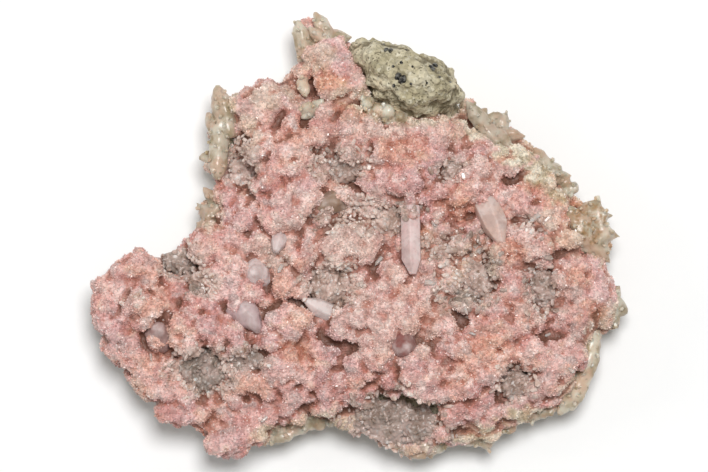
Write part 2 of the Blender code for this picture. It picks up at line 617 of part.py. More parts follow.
def fuse(name, members, home, flat):
    """One solid from crystals that run through each other."""
    loose = collection(name + "_members", hidden=True)
    made = [
        make_cutter(crystal_object(f"{name}_{i}", *ends, radius, loose, flat=flat, sides=5))
        for i, (*ends, radius) in enumerate(members)
    ]
    first = made[0]
    loose.objects.unlink(first)
    home.objects.link(first)
    first.name = name
    first.hide_render = False
    first.display_type = "TEXTURED"
    if len(made) > 1:
        boolean(first, "UNION", loose)
    for other in made[1:]:
        bpy.data.objects.remove(other)
    bpy.data.collections.remove(loose)
    return first


def hull_seat(obj, seats):
    """The smallest bulging-out shape round an object, grown by the gap."""
    form = bmesh.new()
    form.from_mesh(obj.data)
    hull = bmesh.ops.convex_hull(form, input=form.verts)
    spare = [item for item in hull["geom_interior"] if isinstance(item, bmesh.types.BMVert)]
    bmesh.ops.delete(form, geom=spare, context="VERTS")
    on_hull = {item for item in hull["geom"] if isinstance(item, bmesh.types.BMFace)}
    bmesh.ops.delete(form, geom=[face for face in form.faces if face not in on_hull], context="FACES_ONLY")
    bmesh.ops.dissolve_limit(form, angle_limit=0.2, verts=form.verts, edges=form.edges)
    bmesh.ops.triangulate(form, faces=form.faces)
    bmesh.ops.recalc_face_normals(form, faces=form.faces)
    form.normal_update()
    for vertex, normal in [(vertex, vertex.normal.copy()) for vertex in form.verts]:
        vertex.co += normal * GAP * 1.5
    return add_object(obj.name + "_seat", mesh_from(form, obj.name + "_seat"), seats)


def build_groups(home, seats, rock):
    """Crystals at the rim and the blades: each group is one solid, cut clear of the rock."""
    for name, members in GROUPS.items():
        scaled = [(Vector(foot) * MM, Vector(tip) * MM, radius * MM) for foot, tip, radius in members]
        group = fuse(name, scaled, home, flat=0.8)
        boolean(group, "DIFFERENCE", rock)
        largest_body(group)
        make_cutter(hull_seat(group, seats))


def tub(form, middle, radii, rings, reach):
    """Adds a closed body on an uneven oval plan, through rings given as a height and a share of the radii."""
    loops = []
    sides = len(reach)
    for height, share in rings:
        loop = []
        for i, far in enumerate(reach):
            angle = math.tau * i / sides
            across = Vector((math.cos(angle) * radii[0], math.sin(angle) * radii[1], 0.0)) * share * far
            loop.append(form.verts.new(middle + across + Vector((0.0, 0.0, height))))
        loops.append(loop)
    for low, high in zip(loops, loops[1:]):
        for i in range(sides):
            after = (i + 1) % sides
            form.faces.new((low[i], low[after], high[after], high[i]))
    form.faces.new(loops[0][::-1])
    form.faces.new(loops[-1])


def build_druse(name, centre, radii, rise, home, seats, rock):
    """Quartz points standing on a shallow bed in a hollow of the crust, and the well that holds them."""
    x, y = centre[0] * MM, centre[1] * MM
    rx, ry = radii[0] * MM, radii[1] * MM
    base = Vector((x, y, sheet_top(x, y)))
    deep, lip = -1.9 * MM, -0.3 * MM
    chance = random.Random(name)
    form = bmesh.new()
    reach = [chance.uniform(0.86, 1.2) for _ in range(9)]
    tub(form, base, (rx, ry), [(deep, 0.6), (lip, 1.0), (0.3 * MM, 0.8)], reach)
    bed = add_object(name, mesh_from(form, name), home)
    points = collection(name + "_points", hidden=True)
    for i in range(CRYSTALS_PER_DRUSE):
        turn = i * 2.4
        out = math.sqrt((i + 0.5) / CRYSTALS_PER_DRUSE) * 0.66
        aside = Vector((math.cos(turn) * out * rx, math.sin(turn) * out * ry, 0.0))
        lean = Vector((math.cos(turn), math.sin(turn), 0.0)) * out * 0.4 * MM
        tip = base + aside + lean + Vector((0.0, 0.0, (rise + chance.uniform(0.4, 2.0)) * MM))
        size = min(rx, ry) * chance.uniform(0.34, 0.46)
        form = bmesh.new()
        foot = base + aside - (tip - base - aside).normalized() * 0.2 * MM
        pyramid(form, foot, tip, size, chance.uniform(0.0, 1.0))
        make_cutter(add_object(f"{name}_{i}", mesh_from(form, name), points))
    boolean(bed, "UNION", points)
    for point in list(points.objects):
        bpy.data.objects.remove(point)
    bpy.data.collections.remove(points)
    boolean(bed, "DIFFERENCE", seats)
    boolean(bed, "DIFFERENCE", rock)
    largest_body(bed)
    form = bmesh.new()
    wide = (rx + 1.5 * GAP, ry + 1.5 * GAP)
    tub(form, base, wide, [(deep - GAP, 0.62), (lip, 1.0), (10.0 * MM, 1.08)], reach)
    make_cutter(add_object(name + "_well", mesh_from(form, name + "_well"), seats))


def centre_on_floor(parts):
    """Moves every part so that the specimen's box is centred over the origin, and stands on the floor."""
    places = np.array([vertex.co for part in parts for vertex in part.data.vertices])
    low, high = places.min(axis=0), places.max(axis=0)
    shift = Vector((-(low[0] + high[0]) / 2, -(low[1] + high[1]) / 2, -low[2]))
    for part in parts:
        part.data.transform(Matrix.Translation(shift))
    print("moved by, in mm:", [round(value / MM, 3) for value in shift])


def main():
    for obj in list(bpy.data.objects):
        bpy.data.objects.remove(obj, do_unlink=True)
    specimen = collection("stilbite_specimen")
    seats = collection("seats", hidden=True)
    rock = build_rock(specimen)
    seat_of_rock = rock_seat(rock, seats)
    crust = build_crust(specimen)
    build_prisms(specimen, seats, seat_of_rock)
    build_groups(specimen, seats, seat_of_rock)
    for name, (centre, radii, rise) in DRUSES.items():
        build_druse(name, centre, radii, rise, specimen, seats, seat_of_rock)
    boolean(crust, "DIFFERENCE", seats)
    largest_body(crust)
    thin_out(crust, CUT_CRUST_FACES)
    largest_body(crust)
    slots = {
        "rock": material("host_rock", COLOURS["rock"], 0.9),
        "pink": material("pink_stilbite", COLOURS["pink"], 0.7),
        "grey": material("grey_quartz", COLOURS["grey"], 0.35),
        "lilac": material("milky_quartz", COLOURS["lilac"], 0.35),
        "cream": material("cream_crystal", COLOURS["cream"], 0.45),
    }
    paint(rock, slots["rock"])
    paint(crust, slots["pink"])
    for obj in specimen.objects:
        if obj.name in PRISMS:
            paint(obj, slots["lilac"])
        elif obj.name in GROUPS:
            paint(obj, slots["cream"])
        elif obj.name in DRUSES:
            paint(obj, slots["grey"])
    centre_on_floor(list(specimen.objects))
    for obj in specimen.objects:
        print(obj.name, len(obj.data.polygons))


main()
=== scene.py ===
"""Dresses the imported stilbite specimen: a fine crust of pink lumps under sugary crystals, quartz in its hollows,
single milky prisms, pale crystals round the rim, the bare knob of host rock, and the studio it was photographed in.

Metres, +Z up. The lists of places are in millimetres, as in the source of the solids.
"""

import math
import random

import bmesh
import bpy
import numpy as np
from mathutils import Matrix, Vector, noise
from mathutils.bvhtree import BVHTree


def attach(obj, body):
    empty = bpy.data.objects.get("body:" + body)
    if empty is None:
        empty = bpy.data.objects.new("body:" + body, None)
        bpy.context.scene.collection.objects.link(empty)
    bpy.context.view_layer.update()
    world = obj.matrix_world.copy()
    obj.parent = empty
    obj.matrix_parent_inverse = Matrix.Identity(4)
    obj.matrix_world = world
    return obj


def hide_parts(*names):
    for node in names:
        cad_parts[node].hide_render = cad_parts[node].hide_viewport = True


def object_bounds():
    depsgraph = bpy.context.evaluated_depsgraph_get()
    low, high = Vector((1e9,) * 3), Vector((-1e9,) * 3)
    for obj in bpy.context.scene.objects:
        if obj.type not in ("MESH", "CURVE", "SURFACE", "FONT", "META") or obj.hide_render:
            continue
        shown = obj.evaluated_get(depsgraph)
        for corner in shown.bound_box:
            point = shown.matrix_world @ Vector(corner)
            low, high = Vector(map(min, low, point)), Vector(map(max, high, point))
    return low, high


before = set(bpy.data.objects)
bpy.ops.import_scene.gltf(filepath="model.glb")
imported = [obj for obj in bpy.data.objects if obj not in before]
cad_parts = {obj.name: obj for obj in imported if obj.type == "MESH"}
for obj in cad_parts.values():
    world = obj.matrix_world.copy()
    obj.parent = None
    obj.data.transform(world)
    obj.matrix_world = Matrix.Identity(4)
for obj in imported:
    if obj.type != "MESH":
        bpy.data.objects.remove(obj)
SOLID_BOX = [list(corner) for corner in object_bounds()]

MM = 0.001
# The solids were moved by this much, in mm, to centre their box
SHIFT = (-0.03, -0.12)

# The pink lumps: x, y and radius
LUMPS = [
    (-43.8, -7.6, 4.7), (-50.2, -10.8, 3.4), (-50.0, -15.2, 3.2), (-46.8, -18.0, 3.2), (-49.6, -20.8, 2.8),
    (-42.0, -14.0, 3.6), (-44.8, -22.4, 3.2), (-36.0, -10.4, 2.8), (-32.0, -13.6, 3.2), (-34.4, -18.4, 3.0),
    (-46.6, -12.6, 3.0), (-29.6, -18.0, 3.6), (-25.2, -20.6, 3.0), (-40.8, -26.0, 3.2), (-38.4, -30.0, 3.4),
    (-42.6, -28.8, 2.8), (-34.0, -22.8, 1.8), (-34.8, -31.2, 2.6), (-36.8, -34.6, 2.8), (-32.6, -34.8, 3.0),
    (-26.8, -41.0, 3.2), (-23.0, -39.6, 3.2), (-21.0, -37.0, 2.2),
    (-29.6, -3.2, 4.0), (-25.0, -5.2, 3.4), (-29.2, 0.4, 2.6), (-24.0, -0.4, 3.0), (-27.2, -9.6, 3.2),
    (-21.6, 4.4, 3.4), (-25.4, 6.2, 2.4), (-27.0, 10.0, 2.0), (-29.4, 14.0, 2.0),
    (-19.6, 14.2, 3.4), (-13.6, 15.6, 3.6), (-17.2, 10.0, 3.6), (-11.6, 9.2, 3.6), (-17.6, 27.0, 4.2),
    (-20.8, 23.2, 2.6), (-14.0, 24.8, 2.8), (-15.2, 4.8, 4.4), (-8.0, 19.6, 2.4), (-8.4, 12.8, 3.4),
    (-13.4, 20.4, 2.6), (-18.4, 18.8, 2.4), (-23.4, 26.6, 2.4), (-21.4, 10.0, 2.2),
    (-6.4, 35.6, 4.0), (-2.0, 32.8, 3.8), (1.2, 29.6, 2.4), (-4.8, 30.0, 3.6), (-10.6, 33.4, 2.4),
    (-9.6, 38.2, 2.4),
    (-6.4, 23.0, 2.4), (-1.6, 22.8, 2.4), (2.4, 21.2, 2.6), (7.2, 21.2, 2.6), (-2.0, 17.6, 2.8),
    (5.6, 16.0, 3.4), (8.8, 11.2, 3.8), (3.6, 10.4, 2.8), (12.8, 22.0, 3.0), (17.2, 20.4, 3.0),
    (14.0, 17.0, 2.8), (22.8, 13.6, 2.8), (21.6, 9.2, 3.0), (17.0, 8.8, 2.2), (14.6, 5.8, 2.4),
    (28.4, 14.4, 2.8), (32.0, 13.6, 2.4), (36.0, 11.6, 3.0), (33.6, 8.8, 2.4), (30.0, 7.2, 2.8),
    (39.2, 5.6, 2.6), (35.2, 5.0, 2.4), (35.6, -2.4, 3.2), (32.0, 0.4, 2.0), (41.2, -0.4, 2.4),
    (24.6, 17.6, 2.2), (25.4, 11.0, 2.2), (38.4, 1.6, 2.2), (31.4, 17.0, 2.2),
    (44.4, -6.0, 2.6), (47.8, -10.4, 3.0), (43.2, -11.2, 2.8), (39.6, -8.4, 2.8), (48.6, -15.0, 2.4),
    (42.8, -16.0, 3.0), (28.8, -5.2, 3.2), (30.0, -10.8, 3.0), (25.6, -14.8, 2.8), (32.0, -15.2, 3.2),
    (44.0, -20.4, 2.4), (40.2, -24.0, 3.4), (35.2, -23.6, 3.0), (37.0, -28.8, 3.2), (32.0, -22.4, 2.4),
    (28.0, -18.8, 2.6), (23.2, -20.0, 2.8), (21.2, -24.4, 3.2), (25.2, -27.2, 2.6), (16.8, -18.0, 2.8),
    (19.6, -29.2, 2.8), (23.6, -31.2, 2.4), (20.4, -34.4, 2.6), (26.0, -35.0, 2.2), (16.6, -37.4, 2.2),
    (30.6, -33.8, 2.4), (35.6, -33.0, 2.4), (44.6, -25.0, 2.2), (26.6, -23.2, 2.2), (17.6, -32.0, 2.2),
    (-2.8, -17.8, 3.0), (2.4, -15.2, 3.6), (8.0, -15.2, 4.0), (4.0, -21.6, 4.2), (11.2, -25.2, 4.0),
    (14.4, -28.8, 2.6), (11.6, -31.4, 2.8), (0.0, -26.0, 2.4), (-6.8, -24.4, 2.4), (-7.2, -28.8, 3.0),
    (-2.8, -29.6, 2.8), (-6.4, -33.2, 2.8), (6.6, -27.0, 2.4),
    (-13.6, -17.2, 3.6), (-18.4, -20.6, 2.6), (-10.4, -21.2, 2.4), (-15.2, -25.6, 3.8), (-19.2, -28.4, 2.4),
    (-14.0, -31.2, 3.2), (-10.4, -28.0, 2.4), (-18.0, -34.4, 2.6), (-12.8, -34.6, 2.4), (-22.6, -28.8, 2.2),
    (-4.0, -2.0, 3.8), (1.2, -2.0, 3.0), (-8.8, 0.0, 2.4), (-10.8, -4.4, 3.2), (-14.0, -9.2, 3.0),
    (-16.0, -3.4, 2.4), (6.4, -6.8, 2.6), (6.0, -11.2, 2.8), (13.4, -5.2, 2.2), (12.8, -10.8, 2.6),
    (18.4, -8.4, 2.2), (0.4, -10.0, 2.4), (-7.2, 3.6, 2.2), (14.0, 0.6, 2.0), (-19.6, -1.4, 2.4),
    (-12.4, 0.2, 2.2), (20.6, -12.4, 2.4), (-23.0, -11.2, 2.4),
]

# The single prisms: colour, how far each one swells past its solid, and how rounded its edges are, both in mm. Where
# the last is 0.0, the prism is worn all over.
PRISMS = {
    "centre_prism": ("#ebccc8", 0.5, 0.12), "east_prism": ("#e3c2b4", 0.2, 0.3), "west_prism": ("#cfb5b6", 0.8, 0.0),
    "round_prism": ("#fbe8e6", 0.8, 0.0), "slim_prism": ("#e6d0cd", 0.5, 0.3), "shoulder_prism": ("#b28e89", 0.8, 0.0),
    "saddle_prism": ("#9c645e", 1.5, 0.0), "heart_prism": ("#eedfdb", 0.1, 0.3), "nook_prism": ("#dcc2b2", 0.0, 0.0),
    "grey_lens_prism": ("#a38771", 0.5, 0.0),
}
# The ends that the crust has grown over: x, y and radius
OVERGROWN = {
    "centre_prism": (10.0, 5.4, 2.4), "west_prism": (-24.8, -13.8, 1.6), "round_prism": (-20.2, -9.4, 1.4),
    "shoulder_prism": (-40.6, -21.4, 1.5), "nook_prism": (20.4, -1.6, 2.0), "grey_lens_prism": (-2.6, 8.0, 1.8),
}
# Lumps in the gaps of the solid crust: x, y and radius
FILLS = [
    (8.8, 19.2, 2.1), (10.2, 17.4, 2.3), (11.4, 15.4, 2.3), (12.6, 13.2, 2.3), (13.2, 11.0, 2.1), (13.0, 9.2, 1.7),
    (18.8, 18.4, 1.7), (21.5, 19.6, 1.8), (15.8, -22.6, 1.5), (13.4, -20.2, 1.5), (12.8, -15.2, 2.0),
    (14.8, -18.2, 1.8), (12.6, -19.6, 1.6), (16.4, -15.4, 1.6), (11.2, -17.2, 1.6),
]
# What grows over the crust, first lumps of 3 to 5 mm and then knobbles of 1 to 2: smallest and largest radius, spacing,
# and the voxel that fuses them
CRUST_GROWTH = ((1.3, 2.5, 3.0, 0.6), (0.45, 0.85, 0.95, 0.44))
# The same for the bare knob
KNOB_GROWTH = ((0.9, 1.7, 2.0, 0.5), (0.3, 0.7, 0.8, 0.36))
# How far the crust's lumps reach from its walls over the prisms and the hollows' quartz, then smallest and largest
# radius and spacing
OVER_PRISMS, OVER_DRUSES = (0.9, 0.8, 1.3, 1.1), (1.3, 0.5, 1.3, 1.7)
# The crust's four pieces of blades: where each one starts and ends along x, in metres
BLADE_BANDS = ((-0.06, -0.0235), (-0.0235, -0.001), (-0.001, 0.021), (0.021, 0.06))

# The groups at the rim: how pale each one is, how often it is smoothed, how far it swells in mm, and whether its
# blades stand free and keep their shape
RIMS = {
    "summit_blades": (0.6, 1, 0.3, True), "northwest_blades": (0.55, 1, 0.6, True),
    "left_edge_crystals": (0.4, 8, 0.15, False), "drooping_tip": (0.7, 1, 0.3, True),
    "northeast_blade": (0.4, 1, 0.2, True), "upper_right_rim": (0.5, 12, 0.15, False),
    "right_rim_crystals": (0.6, 22, 0.15, False), "right_tip_crystals": (0.6, 14, 0.8, False),
    "southeast_blade": (0.9, 1, 0.55, True), "lower_right_rim": (0.5, 4, 0.15, False),
    "bottom_rim": (0.45, 4, 0.15, False), "lower_left_rim": (0.5, 4, 0.15, False),
    "knob_foot_crystals": (0.9, 4, 0.6, False), "fan_crystals": (0.7, 1, 0.3, True),
}
# The crystals that grow on a rim group, in two goes: spacing, then smallest and largest size
RIM_CRYSTALS = ((1.3, (2.6, 2.2, 0.6), (5.6, 4.6, 1.4)), (1.8, (1.2, 1.0, 0.6), (2.2, 1.8, 1.0)))
# On free blades there is one go only, of small ones
BLADE_CRYSTALS = (1.6, (0.8, 0.7, 0.4), (1.8, 1.5, 0.8))
# The quartz in each hollow, and how pale it is
DRUSES = {
    "south_druse": 0.15, "west_druse": 0.0, "west_hollow_druse": 0.1, "shoulder_druse": 0.15, "flank_druse": 0.4,
    "upper_left_druse": 0.45, "north_druse": 0.3, "centre_druse": 0.5, "heart_druse": 0.4, "high_druse": 0.3,
    "east_druse": 0.35, "far_east_druse": 0.25, "southeast_druse": 0.3,
}
# Ore grains on the bare knob: x, y and radius
ORE = [
    (8.6, 30.6, 0.8), (7.6, 31.4, 0.6), (14.4, 33.2, 0.7), (5.6, 36.6, 0.6), (8.0, 34.4, 0.4), (17.0, 34.8, 0.4),
    (7.0, 29.8, 0.45), (9.8, 29.4, 0.35), (12.0, 36.4, 0.35), (15.6, 31.0, 0.35), (6.4, 33.4, 0.35),
    (10.8, 33.0, 0.3), (13.2, 30.2, 0.3), (11.4, 38.0, 0.35), (4.4, 37.6, 0.3), (17.6, 30.4, 0.3), (9.2, 36.4, 0.3),
]

# Small clear crystals that lie on the crust: x, y, length and turn in degrees
CLEAR = [
    (13.4, -9.2, 2.2, 80), (4.0, -4.6, 2.2, -40), (-2.4, -6.4, 1.6, 60),
    (20.8, -14.4, 1.8, 20), (35.0, 3.8, 2.6, -55), (25.6, -9.2, 2.0, 70), (-41.6, -23.8, 1.6, 10),
    (-32.0, -8.8, 1.8, 30), (-15.6, -6.2, 1.8, -30), (-9.6, 4.0, 1.6, 75), (41.6, -26.4, 1.6, 50),
    (10.6, -38.8, 2.0, 65), (2.0, -40.0, 1.8, 35), (-18.8, -36.2, 1.6, -50), (37.6, -19.6, 1.4, -70),
    (-6.0, 12.8, 1.6, 45), (22.0, -19.2, 1.4, 65), (3.2, 24.0, 1.8, 5),
]

# Where the crust isn't plain pink: x, y, radii along x and y, and strength
ZONES = {
    # grey quartz shows through
    "grey": [
        (7.0, -37.0, 10.5, 6.5, 1.0), (-31.0, -26.4, 8.0, 5.4, 0.9), (-22.4, -24.6, 5.0, 3.0, 0.8),
        (-23.4, 14.6, 4.6, 5.6, 0.8), (-4.4, 14.6, 7.6, 4.6, 0.75), (1.0, 4.0, 11.0, 4.4, 0.85),
        (-6.0, -9.8, 6.2, 6.0, 0.9), (22.4, -7.4, 6.0, 8.4, 0.75), (36.0, -10.4, 4.0, 6.4, 0.7),
        (31.0, -29.6, 5.2, 4.2, 0.7), (-35.4, -5.6, 5.0, 4.2, 0.9), (-31.0, -9.6, 3.4, 3.0, 0.9),
        (16.0, -2.0, 7.0, 4.2, 0.7), (-16.6, -4.4, 3.4, 3.0, 0.5), (18.4, 13.4, 4.4, 3.2, 0.55),
        (-45.6, -12.6, 3.6, 1.8, 0.5), (18.0, -11.6, 5.6, 4.4, 0.6), (34.0, 2.4, 4.6, 2.8, 0.6),
    ],
    # pale, almost cream pink
    "pale": [
        (-20.0, 26.4, 6.0, 4.0, 0.45), (4.0, 22.4, 8.0, 3.0, 0.8), (18.6, 20.4, 6.0, 3.0, 0.45),
        (26.0, 13.6, 4.6, 3.4, 0.35), (-10.0, 6.6, 6.0, 3.0, 0.4), (0.6, -12.6, 7.0, 3.6, 0.45),
        (-2.6, -3.0, 8.0, 4.6, 0.7), (-19.4, -3.4, 4.6, 4.6, 0.6), (4.0, -18.6, 10.0, 7.0, 0.5),
        (-14.0, 0.8, 4.6, 3.2, 0.6), (9.0, -8.6, 6.0, 3.6, 0.5), (-8.0, 26.0, 5.4, 3.0, 0.6),
        (33.0, -3.6, 4.4, 3.6, 0.45), (41.4, -12.0, 3.6, 4.0, 0.45), (44.6, -20.0, 3.4, 3.0, 0.4),
        (17.6, -13.0, 5.0, 3.6, 0.5), (30.0, 18.0, 5.0, 4.6, 0.5), (12.6, 23.6, 7.0, 2.8, 0.8),
        (1.0, 33.0, 3.0, 4.4, 0.55), (12.4, -20.0, 4.0, 3.4, 0.65), (-6.0, 20.4, 4.0, 2.6, 0.4),
    ],
    # olive and cream, at the rim and to the right
    "olive": [
        (24.0, 22.6, 5.6, 4.0, 0.9), (31.2, 16.8, 5.0, 3.6, 1.0), (36.4, 12.8, 4.6, 3.2, 1.0),
        (41.4, 9.4, 4.6, 3.6, 0.9), (46.4, 4.4, 4.6, 4.2, 0.8), (50.0, 0.0, 3.6, 6.0, 0.9),
        (11.4, 23.4, 7.0, 2.0, 0.7), (-2.4, 27.4, 4.0, 2.8, 0.6), (-8.8, 35.4, 4.0, 3.0, 0.5),
        (-12.8, 30.0, 2.8, 4.0, 0.5), (-22.4, 20.0, 3.0, 4.4, 0.5), (-19.0, 28.0, 4.0, 2.6, 0.4),
        (42.6, -0.6, 5.4, 3.4, 0.65), (37.6, 3.0, 3.4, 2.6, 0.45), (49.6, -17.0, 3.0, 4.0, 0.5),
        (23.0, -7.0, 4.6, 6.6, 0.5), (47.4, -21.0, 2.6, 6.0, 0.7), (43.6, -31.6, 4.0, 4.6, 0.7),
        (34.0, -36.4, 6.6, 2.6, 0.9), (24.6, -40.0, 7.0, 2.6, 0.9), (12.6, -43.6, 7.6, 2.2, 0.8),
        (-6.6, -37.4, 8.6, 2.4, 0.8), (-17.0, -39.8, 4.6, 2.2, 0.8), (-27.4, 24.0, 3.0, 7.0, 0.9),
        (-29.8, 4.6, 2.8, 4.6, 0.7), (-30.4, 15.4, 2.2, 3.0, 0.6), (3.0, 26.4, 6.0, 2.6, 0.8),
        (18.6, 26.6, 3.4, 2.4, 0.8), (5.6, 24.4, 4.0, 2.0, 0.7), (52.0, -15.0, 2.4, 3.0, 0.8),
        (-44.0, -31.6, 3.6, 2.6, 0.4),
    ],
    # peach to orange stains
    "peach": [
        (13.0, -1.2, 2.2, 3.6, 0.9), (-6.0, 30.6, 3.4, 2.2, 0.6), (45.4, 4.0, 4.2, 4.6, 0.8),
        (51.0, -2.0, 2.4, 5.0, 0.4), (8.6, 16.6, 5.0, 3.0, 0.4), (-13.6, -22.6, 3.0, 2.6, 0.5),
        (29.0, -3.6, 4.0, 3.0, 0.45), (43.6, -8.0, 3.0, 2.4, 0.4), (33.6, 10.4, 3.4, 2.2, 0.45),
        (46.6, -14.6, 2.6, 2.0, 0.5), (25.0, -20.6, 5.0, 4.0, 0.3), (38.0, 8.0, 3.4, 3.0, 0.4),
        (-30.6, -37.4, 3.0, 2.4, 0.3), (20.6, 5.2, 3.0, 2.6, 0.5), (-2.0, 24.6, 4.0, 2.0, 0.4),
        (46.0, 1.0, 2.0, 3.0, 0.8),
    ],
}
# The seed of each kind's uneven border
ZONE_SEEDS = {"grey": 0, "pale": 7, "olive": 14, "peach": 31}

# The crust's top side starts at this height
CRUST_FOOT = 8.5
# A height that nothing on the specimen reaches
ABOVE_ALL = 40.0
# The deepest holes between lumps: x, y, radius and depth
PITS = [
    (21.6, 3.6, 1.4, 2.1), (30.6, 2.8, 1.2, 2.1), (-32.0, -30.8, 1.2, 2.2), (-22.6, -32.4, 1.1, 2.1),
    (-31.4, -15.2, 0.9, 2.0), (-40.0, -9.8, 0.9, 2.0), (37.6, -17.2, 1.1, 2.1), (27.6, -22.8, 1.0, 2.0),
    (7.0, 26.0, 1.2, 2.1), (-9.0, 28.6, 1.0, 1.8), (-4.4, -23.4, 1.9, 1.2), (13.8, -21.0, 0.6, 1.0),
    (26.0, -9.8, 1.1, 1.8), (-24.6, -24.6, 1.1, 2.0), (12.6, 5.6, 1.0, 2.0),
    (-17.6, -14.4, 0.8, 1.7), (-38.6, -20.6, 1.0, 1.8), (-9.6, -31.6, 1.0, 1.8), (8.4, 7.2, 0.9, 1.8),
    (33.6, -6.6, 0.9, 1.8), (18.4, -26.6, 0.9, 1.8), (-20.4, -17.2, 0.7, 1.7), (-11.6, 21.6, 0.8, 1.7),
    (41.8, -13.4, 0.8, 1.7), (-27.0, -22.8, 0.9, 2.0), (-46.4, -25.0, 0.8, 1.5), (34.6, -19.0, 1.0, 1.8),
]

# The lights: place and width in metres, and power in watts
LIGHTS = {"key": ((0.06, 0.22, 0.96), 0.34, 7.4), "side": ((-0.8, 0.1, 0.5), 0.4, 1.0)}
# The camera looks straight down. Its place, the height of the specimen's edge, and how wide the frame is there, in
# metres: 708 pixels of 0.2 mm
EYE, EDGE_HEIGHT, VIEW_WIDTH = (-0.0012, 0.0, 1.0), 0.01, 0.1416
# The camera's sensor, in mm
SENSOR = 36.0

# How a pattern fades in and out
SMOOTH = {"interpolation_type": "SMOOTHSTEP"}


# ---- helpers


def linear(code):
    """An sRGB hex colour as Blender's linear values."""
    out = []
    for i in (1, 3, 5):
        value = int(code[i:i + 2], 16) / 255
        out.append(value / 12.92 if value <= 0.04045 else ((value + 0.055) / 1.055) ** 2.4)
    return (*out, 1.0)


def add(tree, kind, settings=None, inputs=None):
    """Adds a node with its settings, and its inputs as values, as hex colours, or as links from other outputs."""
    made = tree.nodes.new(kind)
    for key, value in (settings or {}).items():
        setattr(made, key, value)
    for key, value in (inputs or {}).items():
        if isinstance(value, bpy.types.NodeSocket):
            tree.links.new(value, made.inputs[key])
        else:
            is_colour = isinstance(value, str) and value.startswith("#")
            made.inputs[key].default_value = linear(value) if is_colour else value
    return made


def smoothstep(t):
    t = np.clip(t, 0.0, 1.0)
    return t * t * (3.0 - 2.0 * t)


def new_object(name, mesh):
    made = bpy.data.objects.new(name, mesh)
    bpy.context.scene.collection.objects.link(made)
    return made


def settle(obj):
    """Makes what the modifiers give the object's own mesh."""
    graph = bpy.context.evaluated_depsgraph_get()
    mesh = bpy.data.meshes.new_from_object(obj.evaluated_get(graph), preserve_all_data_layers=True, depsgraph=graph)
    obj.modifiers.clear()
    obj.data = mesh


def remesh(obj, voxel):
    """Fuses what overlaps, in voxels of that many mm."""
    modifier = obj.modifiers.new("Fuse", "REMESH")
    modifier.mode = "VOXEL"
    modifier.voxel_size = voxel * MM
    settle(obj)


def merged_copy(node):
    """A bmesh of a CAD node, with its loose triangles joined at their corners."""
    form = bmesh.new()
    form.from_mesh(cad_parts[node].data)
    bmesh.ops.remove_doubles(form, verts=form.verts, dist=0.002 * MM)
    return form


def mesh_from(form, name):
    mesh = bpy.data.meshes.new(name)
    form.to_mesh(mesh)
    form.free()
    return mesh


def from_node(node, name):
    """A new object with a CAD node's form."""
    return new_object(name, mesh_from(merged_copy(node), name))


def join_into(obj, others):
    """Adds other meshes to the object's own."""
    form = bmesh.new()
    for mesh in (obj.data, *others):
        form.from_mesh(mesh)
    form.to_mesh(obj.data)
    form.free()


def soften(obj, times):
    form = bmesh.new()
    form.from_mesh(obj.data)
    for _ in range(times):
        bmesh.ops.smooth_vert(form, verts=form.verts, factor=0.5, use_axis_x=True, use_axis_y=True, use_axis_z=True)
    form.to_mesh(obj.data)
    form.free()


def places_of(mesh):
    places = np.empty(len(mesh.vertices) * 3)
    mesh.vertices.foreach_get("co", places)
    return places.reshape(-1, 3)


def normals_of(mesh):
    normals = np.empty(len(mesh.vertices) * 3)
    mesh.vertices.foreach_get("normal", normals)
    return normals.reshape(-1, 3)


def set_places(mesh, places):
    mesh.vertices.foreach_set("co", places.ravel())
    mesh.update()


def bumps(places, size, seed):
    """Smooth noise of that feature size, in mm, at each place."""
    offset = Vector((seed * 1.37, seed * 2.11, seed * 0.73))
    size *= MM
    return np.array([noise.noise(Vector(place) / size + offset) for place in places])


def roughened(mesh, waves, out=0.0, share=1.0):
    """The mesh's places, moved along their normals by noise and by out.

    Each wave is its size and height in mm, and its seed. The share says how much of the move each place gets.
    """
    places, normals = places_of(mesh), normals_of(mesh)
    move = (sum(bumps(places, size, seed) * height for size, height, seed in waves) + out) * share
    return places + normals * move[:, None] * MM


def store(mesh, name, values):
    """A value for each vertex, to be read by a material or by the scatter."""
    layer = mesh.attributes.new(name, "FLOAT", "POINT")
    layer.data.foreach_set("value", np.asarray(values, float))


def stored(mesh, name):
    values = np.empty(len(mesh.vertices))
    mesh.attributes[name].data.foreach_get("value", values)
    return values


# ---- the crust


def seen_from_above(places, cell):
    """The cell of the plan each place lies in, the height of the surface there, and which cells have a surface."""
    low = places.min(axis=0) - 4 * cell
    spot = ((places[:, :2] - low[:2]) / cell).astype(int)
    wide, tall = spot.max(axis=0) + 5
    top = np.full((wide, tall), -1.0)
    np.maximum.at(top, (spot[:, 0], spot[:, 1]), places[:, 2])
    return spot, np.maximum(top, 0.0), (top > 0).astype(float)


def blurred(grid, reach):
    """A grid blurred over that many cells."""
    weights = np.exp(-0.5 * (np.arange(-int(3 * reach), int(3 * reach) + 1) / reach) ** 2)
    weights /= weights.sum()
    for axis in (0, 1):
        grid = np.apply_along_axis(lambda line: np.convolve(line, weights, mode="same"), axis, grid)
    return grid


def hollow_depth(places, radius=1.5):
    """How far each place lies below the mean height of the surface within that many mm, seen from above.

    None at the rim, where too little of the ground round a place has a surface.
    """
    cell = 0.4 * MM
    spot, top, held = seen_from_above(places, cell)
    share = blurred(held, radius * MM / cell)
    mean = blurred(top, radius * MM / cell) / np.maximum(share, 1e-6)
    inner = smoothstep((share / np.quantile(share, 0.8) - 0.7) / 0.2)
    return (mean[spot[:, 0], spot[:, 1]] - places[:, 2]) * inner[spot[:, 0], spot[:, 1]]


